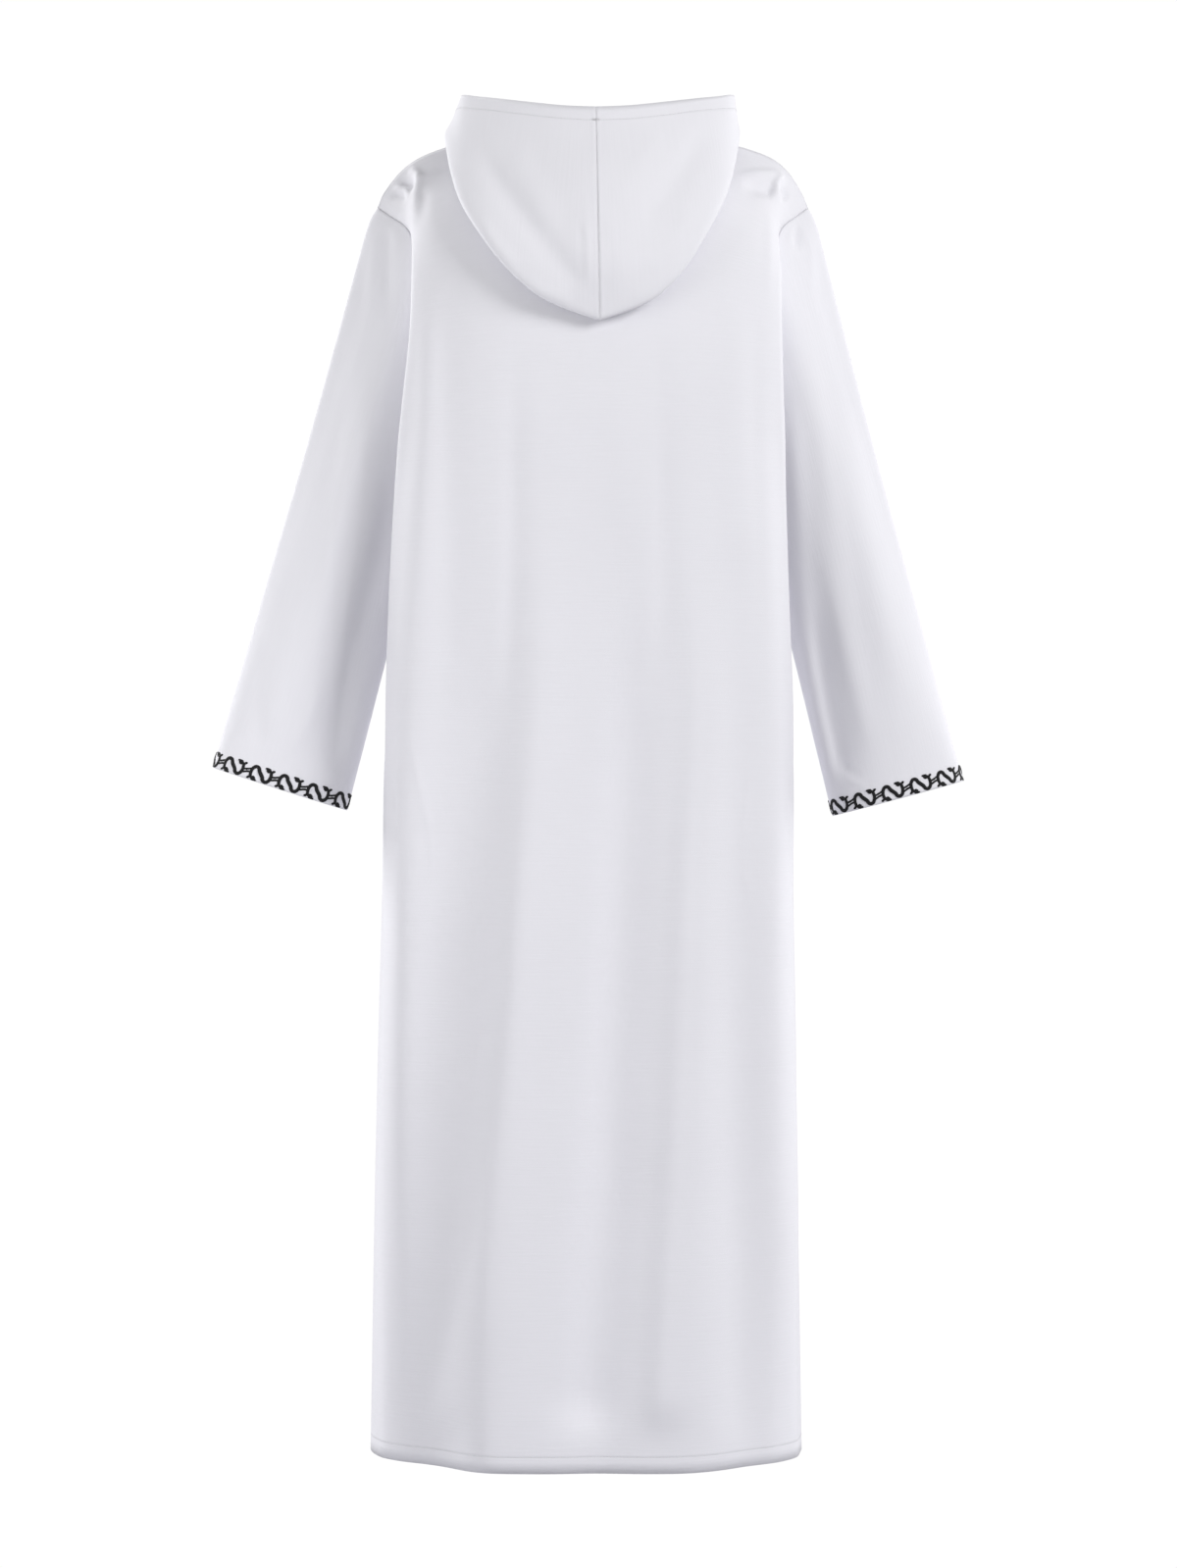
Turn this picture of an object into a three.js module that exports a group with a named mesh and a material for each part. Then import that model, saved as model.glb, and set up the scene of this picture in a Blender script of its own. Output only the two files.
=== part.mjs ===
// A hooded qamis: an ankle-length, long-sleeved cotton robe with its hood laid back, filled out
// as if worn. Millimetres, +Z up. The front faces -Y and the wearer's left side is at +X.
// The origin is on the body's centre line at the height of the shoulders' crest, where a wearer
// carries the robe. Every piece of cloth is a closed wall with the garment's own hollow inside.
import * as THREE from "three";

// Driving sizes
const WALL = 2; // thickness of the cloth's wall
const SEAM = 0.3; // gap between pieces at a seam
const NECK_SEAM = 0.55; // gap at the neck, where the hood's strips are half as wide as the body's
const NECK_HALF = 100; // the neck's half width, where the shoulder seam starts
const NECK = { z: 24, y: -4, backY: 65, backZ: 0, frontY: -78, frontZ: -62 };
const FRONT_DEPTH = 0.95; // the front's depth as a share of the back's
const FRONT_FOLD = 0.7; // how far the front's armhole fold stands out, as a share of the back's
const SWAY = 4; // the hem hangs this far to the wearer's left of the neck
const SLEEVE_ROWS = [0, 0.025, 0.07, 0.14, 0.23, 0.33, 0.44, 0.55, 0.66, 0.77, 0.87, 0.95, 1];
const SHOULDER_FULL = 5; // how far the sleeve rounds out below the shoulder
const CREASES_END = 0.955; // a sleeve's creases have died out this share of the way down
const CUFF_DEPTH = 33; // half the cuff's depth from back to front
const TRIM = { repeats: 11, rise: 5.2, fromEdge: 8.6, halfWidth: 1.5, halfThick: 0.7, stand: 1.1 };
const TRIM_STEPS = 8; // points along one repeat of the trim's wave
const POCKET_WALL = 1.6; // two layers of pocketing pressed together

// Cross-sections of the body, from the hem up, left side. Each row gives the level of the side,
// the level of the centre behind and in front, then how far out and how far back these lie:
// the seam or armhole edge, the fold that hangs beside the armhole, the turn above that fold,
// a point between, and the centre back. wider is what the right side adds. cells is the number
// of strips of cloth from this row up to the next.
const BODY = [
  { z: -1374, zBack: -1374, zFront: -1374, seam: 229, seamY: 0, fold: 222, foldY: 52,
    turn: 199, turnY: 93, midY: 151, backY: 172, wider: -1, cells: 3 },
  { z: -1085, zBack: -1085, zFront: -1085, seam: 225, seamY: 0, fold: 218, foldY: 54,
    turn: 196, turnY: 95, midY: 142, backY: 160, wider: -2, cells: 3 },
  { z: -773, zBack: -773, zFront: -773, seam: 219, seamY: 0, fold: 212, foldY: 56,
    turn: 194, turnY: 93, midY: 131, backY: 146, wider: -2, cells: 2 },
  { z: -600, zBack: -600, zFront: -600, seam: 214, seamY: 0, fold: 213, foldY: 52,
    turn: 196, turnY: 86, midY: 124, backY: 138, wider: -1, cells: 2 },
  { z: -480, zBack: -480, zFront: -480, seam: 187, seamY: 0, fold: 209, foldY: 60,
    turn: 192, turnY: 90, midY: 124, backY: 137, wider: -2, cells: 2 },
  { z: -357, zBack: -357, zFront: -357, seam: 163, seamY: 0, fold: 203, foldY: 68,
    turn: 183, turnY: 95, midY: 126, backY: 138, wider: 0, cells: 1 },
  { z: -311, zBack: -311, zFront: -311, seam: 158, seamY: 0, fold: 200, foldY: 71,
    turn: 179, turnY: 97, midY: 127, backY: 139, wider: 2, cells: 2 },
  { z: -260, zBack: -256, zFront: -262, seam: 164, seamY: 23, fold: 195, foldY: 74,
    turn: 175, turnY: 98, midY: 127, backY: 139, wider: 5, cells: 2 },
  { z: -200, zBack: -190, zFront: -212, seam: 172, seamY: 39, fold: 189, foldY: 75,
    turn: 170, turnY: 96, midY: 123, backY: 134, wider: 10, cells: 3 },
  { z: -130, zBack: -105, zFront: -152, seam: 180, seamY: 42, fold: 187, foldY: 65,
    turn: 168, turnY: 86, midY: 109, backY: 118, wider: 12, cells: 2 },
  { z: -86, zBack: -48, zFront: -108, seam: 191, seamY: 27, fold: 189, foldY: 42,
    turn: 172, turnY: 62, midY: 84, backY: 92, wider: 9, cells: 3 },
];

// The shoulder seam from the neck out to the armhole, and what the right side adds to it
const SHOULDER = [
  { out: 185, z: -6, wider: 10 },
  { out: 208, z: -26, wider: 7 },
  { out: 219, z: -41, wider: 5 },
  { out: 226, z: -57, wider: 5 },
];

// Strips of cloth across half a panel, between the points that a row of BODY names
const ACROSS = { centreToMid: 5, midToTurn: 4, turnToFold: 2, foldToUnder: 1, underToSeam: 2 };
const UNDER_SHARE = 0.56; // how far back the underside of the armhole's fold has come half way in
const MID_SHARE = 0.61; // the point between lies at this share of the turn's distance out

// Folds that hang down the skirt: where each starts and ends, how deep and how wide.
// A trough has a depth below zero, a ridge above zero.
const HANGING_FOLDS = [
  { side: "back", topX: 106, hemX: 172, topZ: -330, depth: -17, width: 50 },
  { side: "back", topX: 44, hemX: 108, topZ: -330, depth: 9, width: 34 },
  { side: "back", topX: -60, hemX: -4, topZ: -330, depth: -11, width: 38 },
  { side: "back", topX: -118, hemX: -96, topZ: -420, depth: 7, width: 34 },
  { side: "back", topX: -150, hemX: -166, topZ: -700, depth: -5, width: 24 },
  { side: "front", topX: 96, hemX: 150, topZ: -380, depth: -9, width: 36 },
  { side: "front", topX: 18, hemX: 52, topZ: -340, depth: 9, width: 38 },
  { side: "front", topX: -62, hemX: -52, topZ: -360, depth: -10, width: 36 },
  { side: "front", topX: -120, hemX: -146, topZ: -480, depth: 8, width: 34 },
];

// Each sleeve's cuff: its middle, how far it tilts from level, half its width, and the sleeve's
// long creases, placed around it from 0 at the outer edge through 0.25 behind and 0.5 inside
const SLEEVES = [
  { name: "sleeve_left", side: 1, cuffX: 329.6, cuffZ: -674, tilt: 17.7, halfWidth: 75,
    creases: [
      { around: 0.37, from: 0.45, depth: -8, width: 0.05 },
      { around: 0.2, from: 0.3, depth: 4, width: 0.06 },
      { around: 0.74, from: 0.35, depth: -6, width: 0.07 },
    ] },
  { name: "sleeve_right", side: -1, cuffX: 326.6, cuffZ: -684, tilt: 15, halfWidth: 72,
    creases: [
      { around: 0.36, from: 0.6, depth: -7, width: 0.04 },
      { around: 0.16, from: 0.4, depth: 3, width: 0.06 },
      { around: 0.78, from: 0.3, depth: -6, width: 0.06 },
    ] },
];

// The hood's half, from the centre back (0) over the shoulder (0.5) to the centre front (1):
// the bottom fold of the laid-back pouch, its rim, and how the cloth stands between them.
// lift is the roll above the neck seam, under and over are how far the two layers stand out.
const HOOD = [
  { at: 0.0, foldX: 0, foldY: 145, foldZ: -192, rimX: 0, rimY: 102, rimZ: 34, lift: 13,
    under: 13, over: 15, round: 6, foldWider: 0, rimWider: 0 },
  { at: 0.1, foldX: 50, foldY: 144, foldZ: -173, rimX: 32, rimY: 97, rimZ: 36, lift: 13,
    under: 13, over: 15, round: 6, foldWider: 2, rimWider: 2 },
  { at: 0.2, foldX: 86, foldY: 139, foldZ: -143, rimX: 64, rimY: 86, rimZ: 41, lift: 13,
    under: 13, over: 13, round: 6, foldWider: 2, rimWider: 6 },
  { at: 0.3, foldX: 113, foldY: 124, foldZ: -105, rimX: 94, rimY: 70, rimZ: 47, lift: 12,
    under: 13, over: 11, round: 6, foldWider: 2, rimWider: 10 },
  { at: 0.4, foldX: 136, foldY: 90, foldZ: -58, rimX: 120, rimY: 49, rimZ: 53, lift: 12,
    under: 12, over: 8, round: 6, foldWider: 3, rimWider: 14 },
  { at: 0.5, foldX: 148, foldY: 30, foldZ: 4, rimX: 136, rimY: 22, rimZ: 58, lift: 12,
    under: 10, over: 3, round: 5, foldWider: 4, rimWider: 16 },
  { at: 0.62, foldX: 140, foldY: -28, foldZ: 10, rimX: 128, rimY: -20, rimZ: 50, lift: 12,
    under: 10, over: 4, round: 4, foldWider: 5, rimWider: 12 },
  { at: 0.8, foldX: 92, foldY: -84, foldZ: -28, rimX: 80, rimY: -76, rimZ: 14, lift: 9,
    under: 8, over: 3, round: 3, foldWider: 2, rimWider: 4 },
  { at: 1.0, foldX: 6, foldY: -97, foldZ: -58, rimX: 5, rimY: -95, rimZ: -40, lift: 4,
    under: 3, over: 1, round: 2, foldWider: 0, rimWider: 0 },
];
const HOOD_SEAM_X = -9; // the centre seam hangs this far to the right at the pouch's fold

// The pocket bags inside the side seams, in strips of the back panel
const POCKET = { lowRow: 6, highRow: 8, columns: 6 };

const COTTON = { color: 0xe9e8ee, roughness: 0.9, metalness: 0 };
const BLACK_CORD = { color: 0x141416, roughness: 0.7, metalness: 0 };

const vec = (x, y, z) => new THREE.Vector3(x, y, z);
const sideName = (side) => (side > 0 ? "left" : "right");

/** 0 below low, 1 above high, and an even S between them. */
function ease(low, high, value) {
  return THREE.MathUtils.smoothstep(value, low, high);
}

/** Points on a smooth curve through the given ones, with so many steps between each pair. */
function alongCurve(points, steps) {
  const curve = new THREE.CatmullRomCurve3(points, false, "centripetal");
  const spans = points.length - 1;
  const found = [];
  steps.forEach((count, span) => {
    for (let i = 0; i < count; i++) found.push(curve.getPoint((span + i / count) / spans));
  });
  found.push(curve.getPoint(1));
  return found;
}

const ACROSS_STEPS = Object.values(ACROSS);
const HALF_CELLS = ACROSS_STEPS.reduce((sum, count) => sum + count, 0);
const UP_STEPS = BODY.map((row) => row.cells);
const CELLS_UP = UP_STEPS.reduce((sum, count) => sum + count, 0);
const ARMPIT = BODY.findIndex((row) => row.seamY > 0) - 1;
const ARMPIT_ROW = UP_STEPS.slice(0, ARMPIT).reduce((sum, count) => sum + count, 0);
const HEM_Z = BODY[0].z;

/** How far the garment has swayed to the wearer's left at a level. */
function sway(z) {
  return SWAY * ease(300, -HEM_Z, -z);
}

/** The named points of one section from the centre out to the seam, on one side. */
function halfSection(row, side, face) {
  const back = face === "back";
  const depth = back ? 1 : -FRONT_DEPTH;
  const hang = back ? 1 : FRONT_FOLD;
  const fold = row.seam + (row.fold - row.seam) * (row.fold > row.seam ? hang : 1);
  const turn = row.turn - (row.fold - fold) * 0.8;
  const zCentre = back ? row.zBack : row.zFront;
  const place = (out, y, towardCentre) => {
    const x = side * (out + (side < 0 ? (row.wider * out) / row.seam : 0));
    const z = THREE.MathUtils.lerp(row.z, zCentre, towardCentre);
    return vec(x + sway(z), y * depth, z);
  };
  return [
    place(0, row.backY, 1),
    place(turn * MID_SHARE, row.midY, 0.85),
    place(turn, row.turnY, 0.3),
    place(fold, row.foldY, 0.05),
    place((fold + row.seam) / 2, row.seamY + (row.foldY - row.seamY) * UNDER_SHARE, 0),
    place(row.seam, row.seamY, 0),
  ];
}

/** One row of a panel, from the left edge to the right. */
function panelRow(row, face) {
  const left = halfSection(row, 1, face).reverse();
  const right = halfSection(row, -1, face);
  const steps = [...ACROSS_STEPS].reverse().concat(ACROSS_STEPS);
  return alongCurve([...left, ...right.slice(1)], steps);
}

/** The half row that ends a panel at the top: the neckline, then the shoulder seam. */
function topHalf(side, face) {
  const back = face === "back";
  const drop = back ? { y: NECK.backY, z: NECK.backZ } : { y: NECK.frontY, z: NECK.frontZ };
  const points = [];
  for (let i = 0; i < ACROSS.centreToMid; i++) {
    const turn = (i / ACROSS.centreToMid) * (Math.PI / 2);
    const low = Math.cos(turn);
    const x = side * NECK_HALF * Math.sin(turn);
    points.push(vec(x, NECK.y + (drop.y - NECK.y) * low, NECK.z + (drop.z - NECK.z) * low ** 1.5));
  }
  const corner = vec(side * NECK_HALF, NECK.y, NECK.z);
  const seam = SHOULDER.map(({ out, z, wider }) =>
    vec(side * (out + (side < 0 ? wider : 0)), NECK.y - 1, z));
  return points.concat(alongCurve([corner, ...seam], ACROSS_STEPS.slice(1)));
}

/** The whole top row of a panel, from the left edge to the right. */
function topRow(face) {
  return [...topHalf(1, face).reverse(), ...topHalf(-1, face).slice(1)];
}

/** A panel's grid of points on its outer side: rows from the hem up, left to right in each. */
function panelGrid(face) {
  const keys = [...BODY.map((row) => panelRow(row, face)), topRow(face)];
  const columns = keys[0].map((_, i) => alongCurve(keys.map((key) => key[i]), UP_STEPS));
  const grid = columns[0].map((_, r) => columns.map((column) => column[r].clone()));
  addHangingFolds(grid, face);
  return grid;
}

/** Presses the skirt's troughs in and lifts its ridges, leaving the side seams where they are. */
function addHangingFolds(grid, face) {
  const out = gridNormals(grid, false);
  grid.forEach((row, r) => row.forEach((point, c) => {
    let lift = 0;
    for (const fold of HANGING_FOLDS.filter(({ side }) => side === face)) {
      const down = THREE.MathUtils.clamp((fold.topZ - point.z) / (fold.topZ - HEM_Z), 0, 1);
      const middle = THREE.MathUtils.lerp(fold.topX, fold.hemX, down);
      const near = Math.exp(-(((point.x - middle) / fold.width) ** 2));
      lift += fold.depth * near * ease(0, 0.55, down);
    }
    const clearOfSeam = ease(12, 60, Math.abs(point.y));
    point.addScaledVector(out[r][c], lift * clearOfSeam);
  }));
}

/** Outward unit normals at a grid's points. A grid that closes on itself joins its columns. */
function gridNormals(grid, closed) {
  const rows = grid.length;
  const count = grid[0].length;
  const at = (r, c) => {
    const row = grid[THREE.MathUtils.clamp(r, 0, rows - 1)];
    return closed ? row[(c + count) % count] : row[THREE.MathUtils.clamp(c, 0, count - 1)];
  };
  const centre = new THREE.Vector3();
  grid.flat().forEach((point) => centre.add(point));
  centre.divideScalar(rows * count);
  let outward = 0;
  const normals = grid.map((row, r) => row.map((point, c) => {
    const across = at(r, c + 1).clone().sub(at(r, c - 1));
    const up = at(r + 1, c).clone().sub(at(r - 1, c));
    const normal = across.cross(up).normalize();
    outward += normal.dot(vec(point.x - centre.x, point.y - centre.y, 0));
    return normal;
  }));
  if (closed && outward < 0) normals.flat().forEach((normal) => normal.negate());
  return normals;
}

/** A closed wall between two grids of points; closed joins the last column to the first. */
function wallGeometry(outer, inner, closed) {
  const rows = outer.length;
  const count = outer[0].length;
  const points = [...outer.flat(), ...inner.flat()];
  const out = (r, c) => r * count + (c % count);
  const inn = (r, c) => rows * count + out(r, c);
  const faces = [];
  const quad = (a, b, c, d) => {
    const short = points[a].distanceTo(points[c]) < points[b].distanceTo(points[d]);
    if (short) faces.push([a, b, c], [a, c, d]);
    else faces.push([a, b, d], [b, c, d]);
  };
  const lastColumn = closed ? count : count - 1;
  for (let r = 0; r < rows - 1; r++) {
    for (let c = 0; c < lastColumn; c++) {
      quad(out(r, c), out(r, c + 1), out(r + 1, c + 1), out(r + 1, c));
      quad(inn(r, c), inn(r + 1, c), inn(r + 1, c + 1), inn(r, c + 1));
    }
    if (!closed) {
      quad(out(r, 0), out(r + 1, 0), inn(r + 1, 0), inn(r, 0));
      quad(out(r, count - 1), inn(r, count - 1), inn(r + 1, count - 1), out(r + 1, count - 1));
    }
  }
  for (let c = 0; c < lastColumn; c++) {
    quad(out(0, c), inn(0, c), inn(0, c + 1), out(0, c + 1));
    quad(out(rows - 1, c), out(rows - 1, c + 1), inn(rows - 1, c + 1), inn(rows - 1, c));
  }
  return solidFrom(points, faces);
}

/** A geometry from points and triangles, turned so that its faces point out of the solid. */
function solidFrom(points, faces) {
  let volume = 0;
  for (const [a, b, c] of faces) {
    volume += points[a].dot(points[b].clone().cross(points[c]));
  }
  const index = faces.flatMap(([a, b, c]) => (volume < 0 ? [a, c, b] : [a, b, c]));
  const geometry = new THREE.BufferGeometry();
  geometry.setAttribute("position", new THREE.Float32BufferAttribute(
    points.flatMap(({ x, y, z }) => [x, y, z]), 3));
  geometry.setIndex(index);
  geometry.computeVertexNormals();
  return geometry;
}

/** The points a wall's thickness inside a grid, measured along the given normals. */
function inside(grid, normals, depth = WALL) {
  return grid.map((row, r) => row.map((point, c) =>
    point.clone().addScaledVector(normals[r][c], -depth)));
}

/** A named mesh with its own material. */
function piece(name, geometry, finish) {
  const mesh = new THREE.Mesh(geometry, new THREE.MeshStandardMaterial(finish));
  mesh.name = name;
  return mesh;
}

// The two body panels share their side seams, shoulder seams and the way their walls stand there
const panels = {};
for (const face of ["back", "front"]) {
  const grid = panelGrid(face);
  const normals = gridNormals(grid, false);
  if (face === "front") normals.flat().forEach((normal) => normal.negate());
  panels[face] = { grid, normals };
}

/** Points from the panel's own cloth out past its edge, in its surface. */
function pastEdge(grid, r, c, rStep, cStep) {
  return grid[r][c].clone().sub(grid[r + rStep][c + cStep]).normalize();
}

const LAST_COLUMN = 2 * HALF_CELLS;
for (const face of ["back", "front"]) {
  const { grid, normals } = panels[face];
  const shift = face === "back" ? SEAM / 2 : -SEAM / 2;
  for (const [column, side] of [[0, 1], [LAST_COLUMN, -1]]) {
    for (let r = 0; r <= ARMPIT_ROW; r++) {
      grid[r][column].y += shift;
      normals[r][column].set(side, 0, 0);
    }
  }
}
for (let c = 0; c <= LAST_COLUMN; c++) {
  if (Math.abs(c - HALF_CELLS) < ACROSS.centreToMid) continue;
  const both = panels.back.normals[CELLS_UP][c].clone().add(panels.front.normals[CELLS_UP][c]);
  both.y = 0;
  both.normalize();
  for (const face of ["back", "front"]) {
    panels[face].grid[CELLS_UP][c].y += face === "back" ? SEAM / 2 : -SEAM / 2;
    panels[face].normals[CELLS_UP][c].copy(both);
  }
}

/** The armhole's points, over the back from the shoulder to the underarm and up the front. */
function armhole(side) {
  const column = side > 0 ? 0 : LAST_COLUMN;
  const inward = side > 0 ? 1 : -1;
  const rows = [];
  for (let r = CELLS_UP; r > ARMPIT_ROW; r--) rows.push(["back", r]);
  for (let r = ARMPIT_ROW; r < CELLS_UP; r++) rows.push(["front", r]);
  return rows.map(([face, r]) => ({
    point: panels[face].grid[r][column],
    normal: panels[face].normals[r][column],
    past: pastEdge(panels[face].grid, r, column, 0, inward),
  }));
}

/** The cuff's point at a share of the way round it, on a true ellipse square to the sleeve. */
function cuffPoint(sleeve, around) {
  const turn = around * 2 * Math.PI;
  const tilt = THREE.MathUtils.degToRad(sleeve.tilt);
  const out = sleeve.halfWidth * Math.cos(turn);
  return vec(
    sleeve.side * (sleeve.cuffX + out * Math.cos(tilt)),
    CUFF_DEPTH * Math.sin(turn) - 6,
    sleeve.cuffZ + out * Math.sin(tilt),
  );
}

/** A point on the sleeve's outer side, with its creases and the fullness below the shoulder. */
function sleevePoint(sleeve, start, around, down) {
  const end = cuffPoint(sleeve, around);
  const middle = vec(sleeve.side * sleeve.cuffX, -6, sleeve.cuffZ);
  const out = end.clone().sub(middle).normalize();
  let stand = SHOULDER_FULL * Math.max(0, Math.cos(around * 2 * Math.PI)) * (1 - down) ** 3;
  for (const crease of sleeve.creases) {
    const near = Math.exp(-(((around - crease.around) / crease.width) ** 2));
    stand += crease.depth * near * ease(crease.from - 0.25, crease.from + 0.1, down)
      * (1 - ease(0.84, CREASES_END, down));
  }
  return start.clone().lerp(end, down).addScaledVector(out, stand * ease(0, 0.035, down));
}

/** One sleeve, lofted from the armhole to its cuff, a seam's gap clear of the body. */
function makeSleeve(sleeve) {
  const edge = armhole(sleeve.side);
  const count = edge.length;
  const rough = SLEEVE_ROWS.map((down) => edge.map(({ point }, i) =>
    sleevePoint(sleeve, point, i / count, down)));
  const first = gridNormals(rough, true)[0];
  const starts = edge.map(({ point, normal, past }, i) => {
    const crease = 1 - ease(0.5, 1, normal.dot(first[i]));
    return point.clone().addScaledVector(past, SEAM).addScaledVector(normal, SEAM * crease);
  });
  const grid = SLEEVE_ROWS.map((down) => starts.map((start, i) =>
    sleevePoint(sleeve, start, i / count, down)));
  const normals = gridNormals(grid, true);
  edge.forEach(({ normal }, i) => {
    const shared = ease(0.1, 0.7, normal.dot(normals[0][i]));
    const both = normal.clone().add(normals[0][i]).normalize();
    normals[0][i].lerp(both, shared).normalize();
    normal.lerp(both, shared).normalize();
  });
  return piece(sleeve.name, wallGeometry(grid, inside(grid, normals), true), COTTON);
}

/** The couched cord round a cuff: a wave that stands just off the cloth and meets itself. */
function makeTrim(sleeve) {
  const steps = TRIM.repeats * TRIM_STEPS;
  const edge = armhole(sleeve.side).map(({ point }) => point);
  const lengths = [0];
  const fine = 720;
  for (let i = 1; i <= fine; i++) {
    const before = cuffPoint(sleeve, (i - 1) / fine);
    lengths.push(lengths[i - 1] + cuffPoint(sleeve, i / fine).distanceTo(before));
  }
  const around = (share) => {
    const wanted = share * lengths[fine];
    const i = Math.max(1, lengths.findIndex((length) => length >= wanted));
    return (i - 1 + (wanted - lengths[i - 1]) / (lengths[i] - lengths[i - 1])) / fine;
  };
  const upward = (at) => {
    const place = at * edge.length;
    const from = edge[Math.floor(place) % edge.length];
    const to = edge[Math.ceil(place) % edge.length];
    return from.clone().lerp(to, place % 1).sub(cuffPoint(sleeve, at)).normalize();
  };
  const spot = (share) => {
    const at = around(share);
    const wave = Math.sin(share * TRIM.repeats * 2 * Math.PI);
    return cuffPoint(sleeve, at).addScaledVector(upward(at), TRIM.fromEdge + TRIM.rise * wave);
  };
  const rings = [];
  for (let i = 0; i < steps; i++) {
    const here = spot(i / steps);
    const ahead = spot(((i + 0.5) % steps) / steps).sub(spot(((i - 0.5 + steps) % steps) / steps));
    const at = around(i / steps);
    const round = cuffPoint(sleeve, at + 0.002).sub(cuffPoint(sleeve, at - 0.002));
    const out = round.cross(upward(at)).normalize().multiplyScalar(sleeve.side);
    const wide = out.clone().cross(ahead).normalize();
    const middle = here.addScaledVector(out, TRIM.stand);
    rings.push([[1, 0], [0, 1], [-1, 0], [0, -1]].map(([w, h]) => middle.clone()
      .addScaledVector(wide, w * TRIM.halfWidth).addScaledVector(out, h * TRIM.halfThick)));
  }
  const faces = [];
  for (let i = 0; i < steps; i++) {
    for (let k = 0; k < 4; k++) {
      const [a, b] = [i * 4 + k, i * 4 + ((k + 1) % 4)];
      const next = ((i + 1) % steps) * 4;
      faces.push([a, b, next + ((k + 1) % 4)], [a, next + ((k + 1) % 4), next + k]);
    }
  }
  return piece(`cuff_cord_${sideName(sleeve.side)}`, solidFrom(rings.flat(), faces), BLACK_CORD);
}

/** The neckline's points on one side, from the centre back to the centre front. */
function neckline(side) {
  const found = [];
  for (const face of ["back", "front"]) {
    const { grid, normals } = panels[face];
    for (let k = 0; k <= ACROSS.centreToMid; k++) {
      const step = face === "back" ? k : ACROSS.centreToMid - k;
      if (face === "front" && k === 0) continue;
      const c = HALF_CELLS - side * step;
      found.push({
        point: grid[CELLS_UP][c],
        normal: normals[CELLS_UP][c],
        past: pastEdge(grid, CELLS_UP, c, -1, 0),
      });
    }
  }
  return found;
}

/** The value of one of the hood's named columns at a share of the way round it. */
function hoodValue(key, at) {
  const i = Math.max(1, HOOD.findIndex((row) => row.at >= at));
  const before = HOOD[Math.max(0, i - 2)][key];
  const [a, b] = [HOOD[i - 1], HOOD[i]];
  const after = HOOD[Math.min(HOOD.length - 1, i + 1)][key];
  const t = (at - a.at) / (b.at - a.at);
  const slopeA = (b[key] - before) / 2;
  const slopeB = (after - a[key]) / 2;
  const h = t * t * (3 - 2 * t);
  return a[key] + (b[key] - a[key]) * h
    + slopeA * t * (1 - t) ** 2 - slopeB * (1 - t) * t ** 2;
}

/** One column of the hood: up from the neck seam, down to the fold and up again to the rim. */
function hoodColumn(side, at, start, past) {
  const value = (key) => hoodValue(key, at);
  const skew = HOOD_SEAM_X * (1 - ease(0, 0.45, at));
  const right = side < 0 ? 1 : 0;
  const fold = vec(side * (value("foldX") + right * value("foldWider")) + skew,
    value("foldY"), value("foldZ"));
  const rim = vec(side * (value("rimX") + right * value("rimWider")) + skew * 0.6,
    value("rimY"), value("rimZ"));
  const out = vec(fold.x - start.x * 0.4 - skew, fold.y, 0).normalize();
  const raised = start.clone().addScaledVector(past, value("lift") * 0.6);
  const roll = start.clone().addScaledVector(out, value("lift") * 0.45)
    .add(vec(0, 0, value("lift")));
  const away = out.clone().add(vec(0, 0, 0.75)).normalize();
  const under = roll.clone().lerp(fold, 0.45).addScaledVector(away, value("under"));
  const over = fold.clone().lerp(rim, 0.5).addScaledVector(out, value("over"));
  const round = value("round");
  const foldIn = fold.clone().addScaledVector(out, -round).add(vec(0, 0, round * 1.3));
  const foldOut = fold.clone().addScaledVector(out, round).add(vec(0, 0, round * 1.3));
  return alongCurve([start, raised, roll, under, foldIn, fold, foldOut, over, rim],
    [1, 1, 2, 2, 1, 1, 2, 2]);
}

/** Half of the hood, from its centre seam round to the front. */
function makeHood(side) {
  const edge = neckline(side);
  const stations = [];
  edge.forEach((spot, i) => {
    stations.push({ ...spot, at: i / (edge.length - 1) });
    if (i === edge.length - 1) return;
    const next = edge[i + 1];
    const middle = (a, b) => a.clone().lerp(b, 0.5);
    stations.push({
      point: middle(spot.point, next.point),
      normal: middle(spot.normal, next.normal).normalize(),
      past: middle(spot.past, next.past).normalize(),
      at: (i + 0.5) / (edge.length - 1),
    });
  });
  const columns = stations.map(({ point, past, at }) =>
    hoodColumn(side, at, point.clone().addScaledVector(past, NECK_SEAM), past));
  for (const point of [...columns[0], ...columns.at(-1)]) point.x += (side * SEAM) / 2;
  const grid = columns[0].map((_, r) => columns.map((column) => column[r]));
  const normals = gridNormals(grid, false);
  if (side > 0) normals.flat().forEach((normal) => normal.negate());
  stations.forEach(({ normal }, c) => normals[0][c].copy(normal));
  for (const row of normals) {
    for (const end of [row[0], row.at(-1)]) end.setX(0).normalize();
  }
  return piece(`hood_${sideName(side)}`, wallGeometry(grid, inside(grid, normals), false), COTTON);
}

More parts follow.
